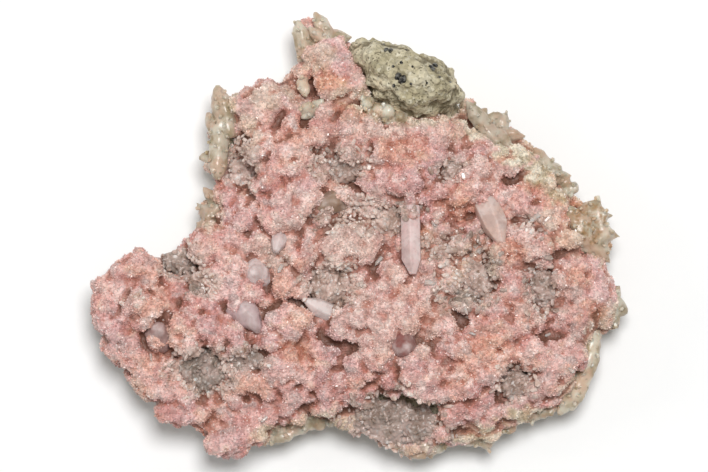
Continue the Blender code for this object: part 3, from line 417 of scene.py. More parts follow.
def near_rim(places):
    """One at the outline and none 1.2 mm further in, seen from above."""
    cell = 0.6 * MM
    spot, _, held = seen_from_above(places, cell)
    share = blurred(held, 1.2 * MM / cell)[spot[:, 0], spot[:, 1]]
    return 1.0 - smoothstep((share / np.quantile(share, 0.9) - 0.55) / 0.4)


def facing_up(mesh, start, span):
    """None where the surface's normal rises by less than start, and one where it rises by the span more."""
    return smoothstep((normals_of(mesh)[:, 2] - start) / span)


def zone_strength(places, kind):
    """How strongly a kind of zone holds at each place, with an uneven border."""
    x, y = places[:, 0] / MM - SHIFT[0], places[:, 1] / MM - SHIFT[1]
    seed = ZONE_SEEDS[kind]
    uneven = bumps(places, 2.2, seed) * 0.45 + bumps(places, 0.9, seed + 5) * 0.3
    strength = np.zeros(len(places))
    for cx, cy, rx, ry, most in ZONES[kind]:
        out = np.hypot((x - cx) / rx, (y - cy) / ry) + uneven
        strength = np.maximum(strength, most * smoothstep((1.2 - out) / 0.55))
    return strength


def flattened(smallest, largest, height=0.8):
    """The smallest and largest size of lumps that are less high than wide."""
    return [(radius, radius, radius * height) for radius in (smallest, largest)]


def grown_over(tree, ball, name, walls, growth, seed):
    """Small pink lumps on a node, where it is within reach of the crust's walls or at its overgrown end."""
    reach, smallest, largest, spacing = growth
    piece = from_node(name, "overgrowth")
    remesh(piece, 0.45)
    x, y, radius = OVERGROWN.get(name, (0.0, 0.0, 0.0))
    near = [
        walls.find_nearest(Vector(place), reach * MM)[0] is not None
        or math.hypot(place[0] / MM - x, place[1] / MM - y) < radius for place in places_of(piece.data)
    ]
    store(piece.data, "cover", facing_up(piece.data, -0.5, 0.5) * np.array(near))
    grow(piece, tree, ball, spacing, flattened(smallest, largest), tilt=0.4, seed=seed, keep=False, density=2.5e6)
    return piece


def fill_gaps(crust, ball, places):
    """Lumps in the gaps of the solid crust, their middles just below the mean height round them."""
    mean = hollow_depth(places, 2.5) + places[:, 2]
    lumps = []
    for x, y, radius in FILLS:
        near = np.argmin(np.hypot(places[:, 0] - x * MM, places[:, 1] - y * MM))
        middle = Vector((x * MM, y * MM, mean[near] - 0.1 * radius * MM))
        lumps.append(ball.data.copy())
        lumps[-1].transform(Matrix.Translation(middle) @ Matrix.Scale(radius * MM, 4))
    join_into(crust, lumps)


def deepen_hollows(crust):
    """Hollows between the lumps and the pits, then fills most of what lies too deep."""
    places = places_of(crust.data)
    top = places[:, 2] > CRUST_FOOT * MM
    deepen = np.clip(hollow_depth(places, 1.2) * 0.9, -0.35 * MM, 1.4 * MM)
    places[:, 2] -= np.where(top, deepen, 0.0)
    uneven = 1.0 + bumps(places, 1.1, 4) * 0.7
    for x, y, radius, depth in PITS:
        out = np.hypot(places[:, 0] / MM - x, places[:, 1] / MM - y) / radius * uneven
        places[:, 2] -= np.where(top, depth * MM * smoothstep(1.2 - out), 0.0)
    set_places(crust.data, places)
    places, normals = places_of(crust.data), normals_of(crust.data)
    # narrow hollows are filled below 0.8 mm, wide ones below 1.8 mm
    for radius, limit in ((1.1, 0.8), (2.0, 1.8)):
        deep = hollow_depth(places, radius) - limit * MM
        places[:, 2] += np.where((deep > 0) & top & (normals[:, 2] > -0.3), deep * 0.8, 0.0)
    move = bumps(places, 0.9, 8) * 0.12
    set_places(crust.data, keep_in_box(places + normals * move[:, None] * MM))


def build_crust(tree):
    """The solid crust, grown over with lumps, and those with knobbles."""
    solid = merged_copy("pink_stilbite_crust")
    walls = BVHTree.FromBMesh(solid)
    crust = new_object("stilbite_crust", mesh_from(solid, "stilbite_crust"))
    remesh(crust, 0.7)
    soften(crust, 2)
    # drawn in by 0.8 mm at the rim, to leave room for the lumps
    places, normals = places_of(crust.data), normals_of(crust.data)
    places[:, :2] -= normals[:, :2] * near_rim(places)[:, None] * 0.8 * MM
    set_places(crust.data, places)
    ball = new_object("ball_form", ball_mesh())
    fill_gaps(crust, ball, places)
    for i, (smallest, largest, spacing, voxel) in enumerate(CRUST_GROWTH):
        in_hollow = hollow_depth(places_of(crust.data)) / MM
        store(crust.data, "cover", facing_up(crust.data, -0.35, 0.4) * np.clip(1.3 - in_hollow, 0.1, 1.0))
        grow(crust, tree, ball, spacing, flattened(smallest, largest), tilt=0.4, seed=3 + i, density=1.4e6)
        if i == 1:
            over = [grown_over(tree, ball, name, walls, OVER_PRISMS, 50 + j) for j, name in enumerate(PRISMS)]
            over += [grown_over(tree, ball, name, walls, OVER_DRUSES, 70 + j) for j, name in enumerate(DRUSES)]
            join_into(crust, [piece.data for piece in over])
            for piece in over:
                bpy.data.objects.remove(piece)
        remesh(crust, voxel)
    bpy.data.objects.remove(ball)
    deepen_hollows(crust)
    thin_underside(crust, 0.3)
    return crust


def keep_in_box(places):
    """Nothing reaches past the solids' box."""
    low, high = (np.array(corner) for corner in SOLID_BOX)
    return np.clip(places, low + 0.02 * MM, high - 0.02 * MM)


def thin_underside(obj, ratio):
    """Keeps only that share of the triangles where the crust faces the rock, unseen."""
    under = normals_of(obj.data)[:, 2] < -0.2
    group = obj.vertex_groups.new(name="underside")
    group.add([int(i) for i in np.flatnonzero(under)], 1.0, "REPLACE")
    modifier = obj.modifiers.new("Thin", "DECIMATE")
    modifier.vertex_group = "underside"
    modifier.ratio = 1.0 - float(under.mean()) * (1.0 - ratio)
    settle(obj)
    obj.vertex_groups.clear()


def mark_surface(mesh):
    """Stores how far each point lies in a hollow, which the materials paint as shade, which zones it belongs to, and
    the random shade of the lump it is on.
    """
    places = places_of(mesh)
    wide = np.clip(hollow_depth(places, 1.6) / (2.4 * MM), 0.0, 1.0)
    near = np.clip(hollow_depth(places, 0.8) / (0.9 * MM), 0.0, 1.0)
    # how deep in a hollow: the materials turn it into painted shade, and fewer blades grow there
    store(mesh, "hollow", wide * 0.55 + near * 0.5)
    for kind in ZONES:
        store(mesh, kind, zone_strength(places, kind))
    chance = random.Random(17)
    shades = np.array([chance.random() for _ in LUMPS])
    nearest = np.zeros(len(places), int)
    best = np.full(len(places), np.inf)
    for i, (x, y, radius) in enumerate(LUMPS):
        out = np.hypot(places[:, 0] / MM - x - SHIFT[0], places[:, 1] / MM - y - SHIFT[1]) / radius
        closer = out < best
        best[closer], nearest[closer] = out[closer], i
    store(mesh, "shade", shades[nearest])


# ---- crystals that repeat


def ball_mesh():
    form = bmesh.new()
    bmesh.ops.create_icosphere(form, subdivisions=2, radius=1.0)
    return mesh_from(form, "ball_form")


def blade_mesh():
    """A tiny stilbite blade: eight faces, wider than it is thick, sharp at both ends."""
    form = bmesh.new()
    for side in (1.0, -1.0):
        place = Matrix.Translation((0.0, 0.0, 0.25 * side)) @ Matrix.Diagonal((0.8, 0.5, side, 1.0))
        bmesh.ops.create_cone(form, cap_ends=False, segments=4, radius1=0.5, radius2=0.0, depth=0.5, matrix=place)
    bmesh.ops.remove_doubles(form, verts=form.verts, dist=0.01)
    bmesh.ops.recalc_face_normals(form, faces=form.faces)
    return mesh_from(form, "blade_form")


def shaft_mesh(name, rings, sides):
    """A crystal one unit long, of rings given as height and radius, closed at both ends."""
    form = bmesh.new()
    loops = []
    for height, radius in rings:
        turn = [math.tau * i / sides for i in range(sides)]
        loops.append([form.verts.new((math.cos(a) * radius, math.sin(a) * radius, height)) for a in turn])
    peak = form.verts.new((0.02, 0.015, 1.0))
    for lower, upper in zip(loops, loops[1:]):
        for i in range(sides):
            after = (i + 1) % sides
            form.faces.new((lower[i], lower[after], upper[after], upper[i]))
    for i in range(sides):
        form.faces.new((loops[-1][i], loops[-1][(i + 1) % sides], peak))
    form.faces.new(loops[0][::-1])
    return mesh_from(form, name)


def point_mesh():
    """Quartz: a six-sided shaft under a pyramid."""
    return shaft_mesh("point_form", ((-0.3, 0.33), (0.62, 0.30)), 6)


def grain_mesh():
    """A worn pale crystal, blunt like a grain of rice."""
    return shaft_mesh("grain_form", ((-0.5, 0.28), (0.3, 0.32), (0.8, 0.29), (0.97, 0.17)), 5)


def scatter_tree():
    """Sets copies of one crystal over a surface, as many as its cover attribute and the density ask for."""
    tree = bpy.data.node_groups.new("crystal_scatter", "GeometryNodeTree")
    sockets = {
        "Geometry": "Geometry", "Crystal": "Object", "Spacing": "Float", "Density": "Float", "Smallest": "Vector",
        "Largest": "Vector", "Tilt": "Float", "Seed": "Int", "Keep Surface": "Bool", "Material": "Material",
    }
    for name, kind in sockets.items():
        tree.interface.new_socket(name, in_out="INPUT", socket_type="NodeSocket" + kind)
    tree.interface.new_socket("Geometry", in_out="OUTPUT", socket_type="NodeSocketGeometry")
    given = add(tree, "NodeGroupInput").outputs
    cover = add(tree, "GeometryNodeInputNamedAttribute", {"data_type": "FLOAT"}, {"Name": "cover"})
    spots = add(
        tree, "GeometryNodeDistributePointsOnFaces", {"distribute_method": "POISSON"},
        {"Mesh": given["Geometry"], "Distance Min": given["Spacing"], "Density Max": given["Density"],
         "Density Factor": cover.outputs[0], "Seed": given["Seed"]},
    )
    tone = add(tree, "FunctionNodeRandomValue", {"data_type": "FLOAT"}, {"Seed": 3})
    toned = add(
        tree, "GeometryNodeStoreNamedAttribute", {"data_type": "FLOAT", "domain": "POINT"},
        {"Geometry": spots.outputs["Points"], "Name": "tone", "Value": tone.outputs[1]},
    )
    size = add(
        tree, "FunctionNodeRandomValue", {"data_type": "FLOAT_VECTOR"},
        {0: given["Smallest"], 1: given["Largest"], "Seed": 7},
    )
    less = add(tree, "ShaderNodeMath", {"operation": "MULTIPLY"}, {0: given["Tilt"], 1: -1.0})
    low = add(tree, "ShaderNodeCombineXYZ", {}, {0: less.outputs[0], 1: less.outputs[0], 2: 0.0})
    high = add(tree, "ShaderNodeCombineXYZ", {}, {0: given["Tilt"], 1: given["Tilt"], 2: math.tau})
    lean = add(
        tree, "FunctionNodeRandomValue", {"data_type": "FLOAT_VECTOR"},
        {0: low.outputs[0], 1: high.outputs[0], "Seed": 11},
    )
    turn = add(tree, "FunctionNodeEulerToRotation", {}, {0: lean.outputs[0]})
    stand = add(
        tree, "FunctionNodeRotateRotation", {"rotation_space": "LOCAL"},
        {0: spots.outputs["Rotation"], 1: turn.outputs[0]},
    )
    form = add(tree, "GeometryNodeObjectInfo", {"transform_space": "ORIGINAL"}, {"Object": given["Crystal"]})
    grown = add(
        tree, "GeometryNodeInstanceOnPoints", {},
        {"Points": toned.outputs[0], "Instance": form.outputs["Geometry"], "Rotation": stand.outputs[0],
         "Scale": size.outputs[0]},
    )
    under = add(
        tree, "GeometryNodeSwitch", {"input_type": "GEOMETRY"},
        {"Switch": given["Keep Surface"], "True": given["Geometry"]},
    )
    both = add(tree, "GeometryNodeJoinGeometry")
    tree.links.new(grown.outputs[0], both.inputs[0])
    tree.links.new(under.outputs[0], both.inputs[0])
    real = add(tree, "GeometryNodeRealizeInstances", {}, {0: both.outputs[0]})
    painted = add(tree, "GeometryNodeSetMaterial", {}, {"Geometry": real.outputs[0], "Material": given["Material"]})
    add(tree, "NodeGroupOutput", {}, {0: painted.outputs[0]})
    return tree


def grow(obj, tree, crystal, spacing, sizes, tilt, seed, keep=True, look=None, density=None):
    """Scatters a crystal over an object and makes the result its plain mesh.

    The spacing and the smallest and largest size are in mm. The density is the most crystals a square metre.
    """
    settings = {
        "Crystal": crystal, "Spacing": spacing * MM, "Density": density or 2.5e6 / spacing ** 2,
        "Smallest": Vector(sizes[0]) * MM, "Largest": Vector(sizes[1]) * MM, "Tilt": tilt, "Seed": seed,
        "Keep Surface": keep, "Material": look,
    }
    modifier = obj.modifiers.new("Crystals", "NODES")
    modifier.node_group = tree
    for item in tree.interface.items_tree:
        if item.in_out == "INPUT" and settings.get(item.name) is not None:
            modifier[item.identifier] = settings[item.name]
    settle(obj)


def sub_mesh(mesh, keep):
    """A copy of a mesh with only the faces that keep says."""
    form = bmesh.new()
    form.from_mesh(mesh)
    spare = [face for face in form.faces if not keep(face)]
    bmesh.ops.delete(form, geom=spare, context="FACES")
    return mesh_from(form, "part_of_crust")


# ---- materials


def new_material(name):
    made = bpy.data.materials.new(name)
    made.use_nodes = True
    made.node_tree.nodes.clear()
    return made, made.node_tree


def patterns(tree, values=(), noises=None, grains=None):
    """What a material's colours follow, by name: values stored on the mesh, noise and grains.

    A noise is the width of its patches in mm and its detail, and a grain its width in mm. Each grain is its height
    and two random values of its own.
    """
    at = {name: add(tree, "ShaderNodeAttribute", {"attribute_name": name}).outputs["Fac"] for name in values}
    spot = add(tree, "ShaderNodeTexCoord").outputs["Object"]
    for name, (size, detail) in (noises or {}).items():
        inputs = {"Vector": spot, "Scale": 1000.0 / size, "Detail": detail}
        at[name] = add(tree, "ShaderNodeTexNoise", {}, inputs).outputs[0]
    for name, size in (grains or {}).items():
        cells = add(tree, "ShaderNodeTexVoronoi", {}, {"Vector": spot, "Scale": 1000.0 / size}).outputs
        chance = add(tree, "ShaderNodeSeparateColor", {}, {0: cells["Color"]}).outputs
        at[name], at[name + "_chance"], at[name + "_shade"] = cells["Distance"], chance[0], chance[2]
    return at


def laid_over(tree, at, colour, layers):
    """Lays colours over a colour, one after the other.

    Each layer is the pattern it follows, the two values between which it fades in and how strong it gets, and its
    colour. Without those three numbers the pattern is the strength.
    """
    for pattern, *fade, over in layers:
        factor = at[pattern]
        if fade:
            start, end, most = fade
            inputs = {"Value": factor, "From Min": start, "From Max": end, "To Min": 0.0, "To Max": most}
            factor = add(tree, "ShaderNodeMapRange", SMOOTH, inputs).outputs[0]
        colour = add(tree, "ShaderNodeMix", {"data_type": "RGBA"}, {0: factor, 6: colour, 7: over}).outputs[2]
    return colour


def brightened(tree, colour, value, darkest, lightest, start=0.0, end=1.0):
    """A colour whose brightness goes from the darkest to the lightest as the value goes from start to end."""
    inputs = {"Value": value, "From Min": start, "From Max": end, "To Min": darkest, "To Max": lightest}
    amount = add(tree, "ShaderNodeMapRange", SMOOTH, inputs).outputs[0]
    grey = add(tree, "ShaderNodeCombineColor", {}, {0: amount, 1: amount, 2: amount}).outputs[0]
    settings = {"data_type": "RGBA", "blend_type": "MULTIPLY"}
    return add(tree, "ShaderNodeMix", settings, {0: 1.0, 6: colour, 7: grey}).outputs[2]


def surfaced(tree, inputs, relief=None):
    """The material's surface. The relief is its strength, its height in mm and the value it follows."""
    if relief is not None:
        strength, height, value = relief
        bump = add(tree, "ShaderNodeBump", {}, {"Strength": strength, "Distance": height * MM, "Height": value})
        inputs["Normal"] = bump.outputs[0]
    shader = add(tree, "ShaderNodeBsdfPrincipled", {}, inputs)
    add(tree, "ShaderNodeOutputMaterial", {}, {0: shader.outputs[0]})


def stilbite_colour(tree):
    """Pink, with paler and stronger lumps, grey and cream clouds, and zones that are grey, pale, olive or peach."""
    at = patterns(
        tree, ("shade", "pale", "peach", "grey", "olive"),
        {"broad": (9.0, 2.0), "clump": (2.4, 4.0), "cloud": (3.4, 3.0), "fleck": (1.1, 2.0), "dot": (0.55, 1.0)},
    )
    pale = laid_over(tree, at, "#d6b6aa", [("clump", 0.35, 0.65, 1.0, "#ead2c6")])
    peach = laid_over(tree, at, "#c9805c", [("fleck", 0.4, 0.6, 1.0, "#e2ad8a")])
    return laid_over(tree, at, "#d59f98", [
        ("shade", "#e9c2ba"),
        ("broad", 0.5, 0.64, 0.7, "#e8b9a4"), ("broad", 0.46, 0.36, 0.5, "#dab6b6"),
        ("clump", 0.48, 0.72, 0.85, "#f2d9d1"), ("clump", 0.48, 0.3, 0.6, "#c98c84"),
        ("cloud", 0.56, 0.68, 0.65, "#c4aea9"), ("cloud", 0.42, 0.3, 0.5, "#e6c7b2"),
        ("fleck", 0.38, 0.28, 0.6, "#b8705a"), ("dot", 0.32, 0.24, 0.6, "#86604f"),
        ("pale", pale), ("peach", peach), ("grey", grey_colour(tree)), ("olive", olive_colour(tree)),
    ])


def grey_colour(tree):
    """Grey quartz with brown in its depths, and pink and white in its clouds."""
    at = patterns(tree, ("shade",), {"cloud": (2.6, 4.0), "broad": (4.2, 2.0), "fleck": (1.1, 3.0)})
    return laid_over(tree, at, "#b3988a", [
        ("cloud", 0.36, 0.62, 1.0, "#e6cdc2"), ("shade", 0.35, 0.0, 0.5, "#a99e92"),
        ("broad", 0.48, 0.62, 0.7, "#e8cdc3"), ("fleck", 0.4, 0.3, 0.7, "#8c7059"),
        ("fleck", 0.58, 0.7, 0.7, "#f4ede8"),
    ])


def olive_colour(tree):
    """Cream crystal that turns olive and tan in places, and is stained where the peach zones are."""
    at = patterns(tree, ("peach",), {"cloud": (3.0, 4.0), "broad": (5.0, 2.0), "fleck": (1.0, 3.0)})
    inputs = {"Value": at["fleck"], "From Min": 0.56, "From Max": 0.4, "To Min": 0.1, "To Max": 0.9}
    flecked = add(tree, "ShaderNodeMapRange", SMOOTH, inputs).outputs[0]
    at["stain"] = add(tree, "ShaderNodeMath", {"operation": "MULTIPLY"}, {0: at["peach"], 1: flecked}).outputs[0]
    return laid_over(tree, at, "#bba98a", [
        ("cloud", 0.34, 0.6, 1.0, "#eee2cf"), ("broad", 0.46, 0.6, 0.65, "#e4c0a6"), ("stain", "#b98a55"),
        ("fleck", 0.38, 0.28, 0.7, "#8f7c58"),
    ])


def own_colour(tree):
    """The colour stored on the crystal, with grey and milky clouds of 3 to 4 mm in it, and small dapples."""
    own = add(tree, "ShaderNodeAttribute", {"attribute_name": "own"}).outputs["Color"]
    at = patterns(tree, (), {"broad": (4.0, 2.0), "cloud": (3.0, 3.0), "dapple": (0.9, 2.0)})
    return laid_over(tree, at, own, [
        ("broad", 0.5, 0.36, 0.4, "#b19b95"), ("cloud", 0.42, 0.7, 0.55, "#f1e4e0"),
        ("dapple", 0.5, 0.36, 0.22, "#a58780"),
    ])


def clear_colour(tree):
    """Nearly colourless, with a faint warm cloud."""
    at = patterns(tree, (), {"cloud": (1.5, 2.0)})
    return laid_over(tree, at, "#f2dbd0", [("cloud", 0.4, 0.6, 1.0, "#fbece4")])


def stilbite_crust():
    """Stilbite where it is massive: fine grains of half a millimetre, grown together. Waxy and pink, red-brown in its
    cracks, partly its own colour and partly painted shade, and painted dark brown shade in the deepest hollows.
    """
    made, tree = new_material("massive_pink_stilbite")
    at = patterns(tree, ("hollow",), {"fine": (1 / 2.3, 2.0)}, {"grain": 1 / 1.9})
    pink = brightened(tree, stilbite_colour(tree), at["grain_chance"], 0.74, 1.14)
    # painted shade: the hollow value turns the pink red-brown in cracks, partly the crust's own colour, and dark brown
    # in the deepest hollows
    pink = laid_over(tree, at, pink, [("hollow", 0.06, 0.42, 0.6, "#b56d55"), ("hollow", 0.35, 0.95, 0.85, "#5e3c2a")])
    height = add(tree, "ShaderNodeMath", {"operation": "ADD"}, {0: at["grain"], 1: at["fine"]}).outputs[0]
    surfaced(tree, {
        "Base Color": pink, "Roughness": 0.5, "IOR": 1.5, "Subsurface Weight": 0.15,
        "Subsurface Radius": (1.0, 0.5, 0.4), "Subsurface Scale": 0.35 * MM,
    }, (0.7, 0.14, height))
    return made


def stilbite_blades():
    """Stilbite's free blades: each its own shade of pink, with a pearly face that glints when it meets the light,
    red-brown and painted dark shade in the hollows, and painted glints on the palest few.
    """
    made, tree = new_material("pearly_stilbite_blades")
    at = patterns(tree, ("tone", "hollow"))
    # painted shade: red-brown in cracks, partly the blades' own colour, and dark brown deeper in the hollows
    pink = laid_over(tree, at, stilbite_colour(tree), [
        ("hollow", 0.06, 0.5, 0.6, "#b66c56"), ("hollow", 0.4, 1.0, 0.8, "#6e4432"),
    ])
    pink = brightened(tree, pink, at["tone"], 0.75, 1.17, 0.05, 0.9)
    # painted glints: the blades of the highest tone are painted near-white
    pink = laid_over(tree, at, pink, [("tone", 0.9, 0.97, 0.7, "#f7ebe6")])
    surfaced(tree, {"Base Color": pink, "Roughness": 0.28, "IOR": 1.5})
    return made


def quartz(name, colour_of, through, roughness, spread=0.0):
    """Quartz: clear to milky crystal, cloudy at its foot. Light passes through it, and its flat faces reflect."""
    made, tree = new_material(name)
    at = patterns(tree, ("tone", "shade"), {"growth_mark": (0.4, 2.0)})
    # each crystal has its own brightness, and its shade says how pale its druse or its rim group is
    colour = brightened(tree, colour_of(tree), at["tone"], 0.98, 1.08)
    if spread:
        colour = brightened(tree, colour, at["shade"], 1.0 - spread, 1.0 + spread)
    surfaced(tree, {
        "Base Color": colour, "Roughness": roughness, "IOR": 1.54, "Transmission Weight": through,
        "Subsurface Weight": 0.6, "Subsurface Radius": (1.0, 0.8, 0.75), "Subsurface Scale": 1.1 * MM,
    }, (0.3, 0.1, at["growth_mark"]))
    return made


def ore():
    """Ore grains: small dark crystals with a metal's glint."""
    made, tree = new_material("dark_ore_grains")
    at = patterns(tree, (), {"spread": (1 / 1.5, 2.0)})
    colour = laid_over(tree, at, "#474644", [("spread", 0.4, 0.65, 1.0, "#8c8a84")])
    inputs = {"Value": at["spread"], "From Min": 0.3, "From Max": 0.7, "To Min": 0.2, "To Max": 0.5}
    roughness = add(tree, "ShaderNodeMapRange", SMOOTH, inputs).outputs[0]
    surfaced(tree, {"Base Color": colour, "Metallic": 0.8, "Roughness": roughness})
    return made


def host_rock():
    """Host rock: altered and granular, tan to olive, with pale grains and a few dark ones, and painted shade in its
    hollows.
    """
    made, tree = new_material("granular_host_rock")
    # drift over 6 mm, grains of 0.6 mm each of its own shade, and specks of 0.3 mm
    at = patterns(
        tree, ("hollow",), {"drift": (1 / 0.17, 4.0), "fine": (0.4, 3.0)}, {"grain": 1 / 1.6, "speck": 1 / 3.0}
    )
    colour = laid_over(tree, at, "#aea384", [
        ("drift", 0.35, 0.65, 1.0, "#d6ccb1"), ("drift", 0.55, 0.75, 0.7, "#c6ae8b"),
    ])
    colour = brightened(tree, colour, at["grain_shade"], 0.8, 1.15)
    colour = laid_over(tree, at, colour, [
        ("grain_chance", 0.7, 1.0, 0.6, "#e2dbc6"), ("speck_chance", 0.86, 0.95, 0.8, "#5d543f"),
        # painted shade: darker olive-brown in the knob's hollows
        ("hollow", 0.1, 0.9, 0.75, "#5f5338"),
    ])
    height = add(tree, "ShaderNodeMath", {"operation": "ADD"}, {0: at["grain"], 1: at["fine"]}).outputs[0]
    surfaced(tree, {"Base Color": colour, "Roughness": 0.8, "IOR": 1.5}, (0.8, 0.2, height))
    return made


def paint(obj, made):
    obj.data.materials.clear()
    obj.data.materials.append(made)


# ---- pieces


def ground_of(mesh):
    """A function that gives the mesh's highest place at x and y, in mm, or None beside the mesh."""
    form = bmesh.new()
    form.from_mesh(mesh)
    surface = BVHTree.FromBMesh(form)
    form.free()
    return lambda x, y: surface.ray_cast(Vector((x, y, ABOVE_ALL)) * MM, Vector((0.0, 0.0, -1.0)))[0]


def knob_worn(places):
    """The knob's right shoulder falls away, by 3 mm at most."""
    x, y = places[:, 0] / MM, places[:, 1] / MM
    places[:, 1] -= smoothstep((x - 7.0) / 8.0) * smoothstep((y - 26.0) / 11.0) * 3.0 * MM
    return places


def build_plate():
    """The host rock's plate, worn except at its flat back and at the very top."""
    plate = from_node("matrix_rock", "host_rock_plate")
    remesh(plate, 0.95)
    soften(plate, 2)
    height = places_of(plate.data)[:, 2]
    free = smoothstep(height / (1.5 * MM)) * smoothstep((23.0 * MM - height) / (2.0 * MM))
    worn = roughened(plate.data, ((2.6, 0.6, 2), (1.1, 0.35, 6)), -0.25, free)
    set_places(plate.data, knob_worn(keep_in_box(worn)))
    return plate


def build_knob(tree):
    """The bare knob, cut from the rock's solid and grown over with lumps and grains."""
    form = merged_copy("matrix_rock")
    for corner, side in (((0, 22.0, 0), (0, -1, 0)), ((0, 0, 10.5), (0, 0, -1)), ((-5.5, 0, 0), (-1, 0, 0))):
        everything = form.verts[:] + form.edges[:] + form.faces[:]
        cut = bmesh.ops.bisect_plane(
            form, geom=everything, plane_co=Vector(corner) * MM, plane_no=side, clear_outer=True
        )
        rim = [item for item in cut["geom_cut"] if isinstance(item, bmesh.types.BMEdge)]
        bmesh.ops.holes_fill(form, edges=rim)
    knob = new_object("host_rock_knob", mesh_from(form, "host_rock_knob"))
    remesh(knob, 0.6)
    soften(knob, 2)
    ball = new_object("ball_form", ball_mesh())
    for i, (smallest, largest, spacing, voxel) in enumerate(KNOB_GROWTH):
        store(knob.data, "cover", facing_up(knob.data, -0.4, 1.0))
        grow(knob, tree, ball, spacing, flattened(smallest, largest, 0.6), tilt=0.3, seed=40 + i, density=2.0e6)
        remesh(knob, voxel)
    bpy.data.objects.remove(ball)
    places = knob_worn(keep_in_box(roughened(knob.data, ((0.9, 0.25, 12), (2.6, 0.5, 14)))))
    set_places(knob.data, places)
    # how deep each point lies in a hollow, which the rock's material turns into painted shade
    store(knob.data, "hollow", np.clip(hollow_depth(places, 1.2) / (0.9 * MM), 0.0, 1.0))
    return knob


def build_ore(knob):
    """The ore grains on the knob. A large one is three crystals grown together."""
    ground = ground_of(knob.data)
    form = bmesh.new()
    chance = random.Random(9)
    for x, y, radius in ORE:
        for _ in range(3 if radius > 0.5 else 1):
            spot = ground(x + chance.uniform(-0.5, 0.5), y + chance.uniform(-0.5, 0.5))
            if spot is not None and spot.z > 10.0 * MM:
                turn = Matrix.Rotation(chance.uniform(0, 3), 4, Vector((chance.random(), 1.0, chance.random())))
                place = Matrix.Translation(spot) @ turn @ Matrix.Scale(radius * MM, 4)
                bmesh.ops.create_icosphere(form, subdivisions=1, radius=1.0, matrix=place)
    return new_object("ore_grains", mesh_from(form, "ore_grains"))


def build_rock(tree, rock, metal):
    """The host rock's plate and knob, which stand for its one solid, and the ore grains."""
    plate, knob = build_plate(), build_knob(tree)
    grains = build_ore(knob)
    for obj in (plate, knob):
        obj.data.shade_smooth()
        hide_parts("matrix_rock")
    for obj, look in ((plate, rock), (knob, rock), (grains, metal)):
        paint(obj, look)
        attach(obj, "root")


def build_blades(crust, tree, look):
    """The sugary blades over the crust, in pieces of under 200,000 triangles."""
    blade = new_object("blade_form", blade_mesh())
    for i, (left, right) in enumerate(BLADE_BANDS):
        mesh = sub_mesh(
            crust.data, lambda face: left <= face.calc_center_median().x < right and face.normal.z > -0.5
        )
        store(mesh, "cover", np.clip(1.1 - stored(mesh, "hollow") - 0.5 * stored(mesh, "grey"), 0.12, 1.0))
        piece = new_object(f"stilbite_blades_{i + 1}", mesh)
        sizes = (0.4, 0.4, 0.45), (0.85, 0.8, 0.95)
        grow(piece, tree, blade, 0.34, sizes, tilt=1.2, seed=20 + i, keep=False, look=look, density=9.0e6)
        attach(piece, "root")
    bpy.data.objects.remove(blade)


def build_free_quartz(crust, tree, point, look):
    """Quartz points among the lumps where the crust is grey."""
    mesh = sub_mesh(crust.data, lambda face: face.normal.z > 0.1)
    store(mesh, "cover", np.clip(stored(mesh, "grey") * 1.5 - 0.3, 0.0, 1.0))
    piece = new_object("grey_quartz_points", mesh)
    sizes = (0.8, 0.8, 0.5), (2.1, 1.9, 1.5)
    grow(piece, tree, point, 1.0, sizes, tilt=1.3, seed=71, keep=False, look=look, density=1.8e6)
    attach(piece, "root")


def build_druses(tree, point, look):
    """Each hollow's bed of quartz, uneven and grown over with crystals, most of them lying."""
    for i, (name, shade) in enumerate(DRUSES.items()):
        piece = from_node(name, name + "_quartz")
        remesh(piece, 0.5)
        soften(piece, 2)
        set_places(piece.data, roughened(piece.data, ((2.4, 0.6, 60 + i), (1.0, 0.25, 80 + i)), 0.3))
        store(piece.data, "cover", facing_up(piece.data, -0.1, 0.4))
        grow(piece, tree, point, 0.7, ((0.8, 0.8, 0.5), (1.8, 1.7, 1.1)), tilt=1.2, seed=90 + i, look=look)
        remesh(piece, 0.23)
        store(piece.data, "cover", facing_up(piece.data, -0.1, 0.4))
        store(piece.data, "shade", np.full(len(piece.data.vertices), shade))
        piece.data.shade_smooth()
        stones = new_object("stones", piece.data.copy())
        sizes = (0.9, 0.9, 0.6), (2.0, 1.9, 1.3)
        grow(stones, tree, point, 1.7, sizes, tilt=1.3, seed=110 + i, keep=False, look=look)
        join_into(piece, [stones.data])
        bpy.data.objects.remove(stones)
        paint(piece, look)
        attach(piece, "root")
        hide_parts(name)


def build_prisms(look):
    """The single prisms, swollen and worn as much as each one's place says."""
    for i, (name, (colour, growth, rounding)) in enumerate(PRISMS.items()):
        piece = from_node(name, name + "_quartz")
        swell = piece.modifiers.new("Swell", "DISPLACE")
        swell.strength = growth * MM
        swell.mid_level = 0.0
        if rounding:
            wear = piece.modifiers.new("Worn edges", "BEVEL")
            wear.width = rounding * MM
            wear.segments = 3
            wear.limit_method = "ANGLE"
        settle(piece)
        if not rounding:
            remesh(piece, 0.4)
            soften(piece, 11)
            set_places(piece.data, roughened(piece.data, ((2.2, 0.5, 30 + i), (0.9, 0.15, 40 + i))))
        piece.data.shade_smooth()
        piece.data.set_sharp_from_angle(angle=math.radians(40))
        own = piece.data.attributes.new("own", "FLOAT_COLOR", "POINT")
        own.data.foreach_set("color", linear(colour) * len(piece.data.vertices))
        paint(piece, look)
        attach(piece, "root")
        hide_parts(name)


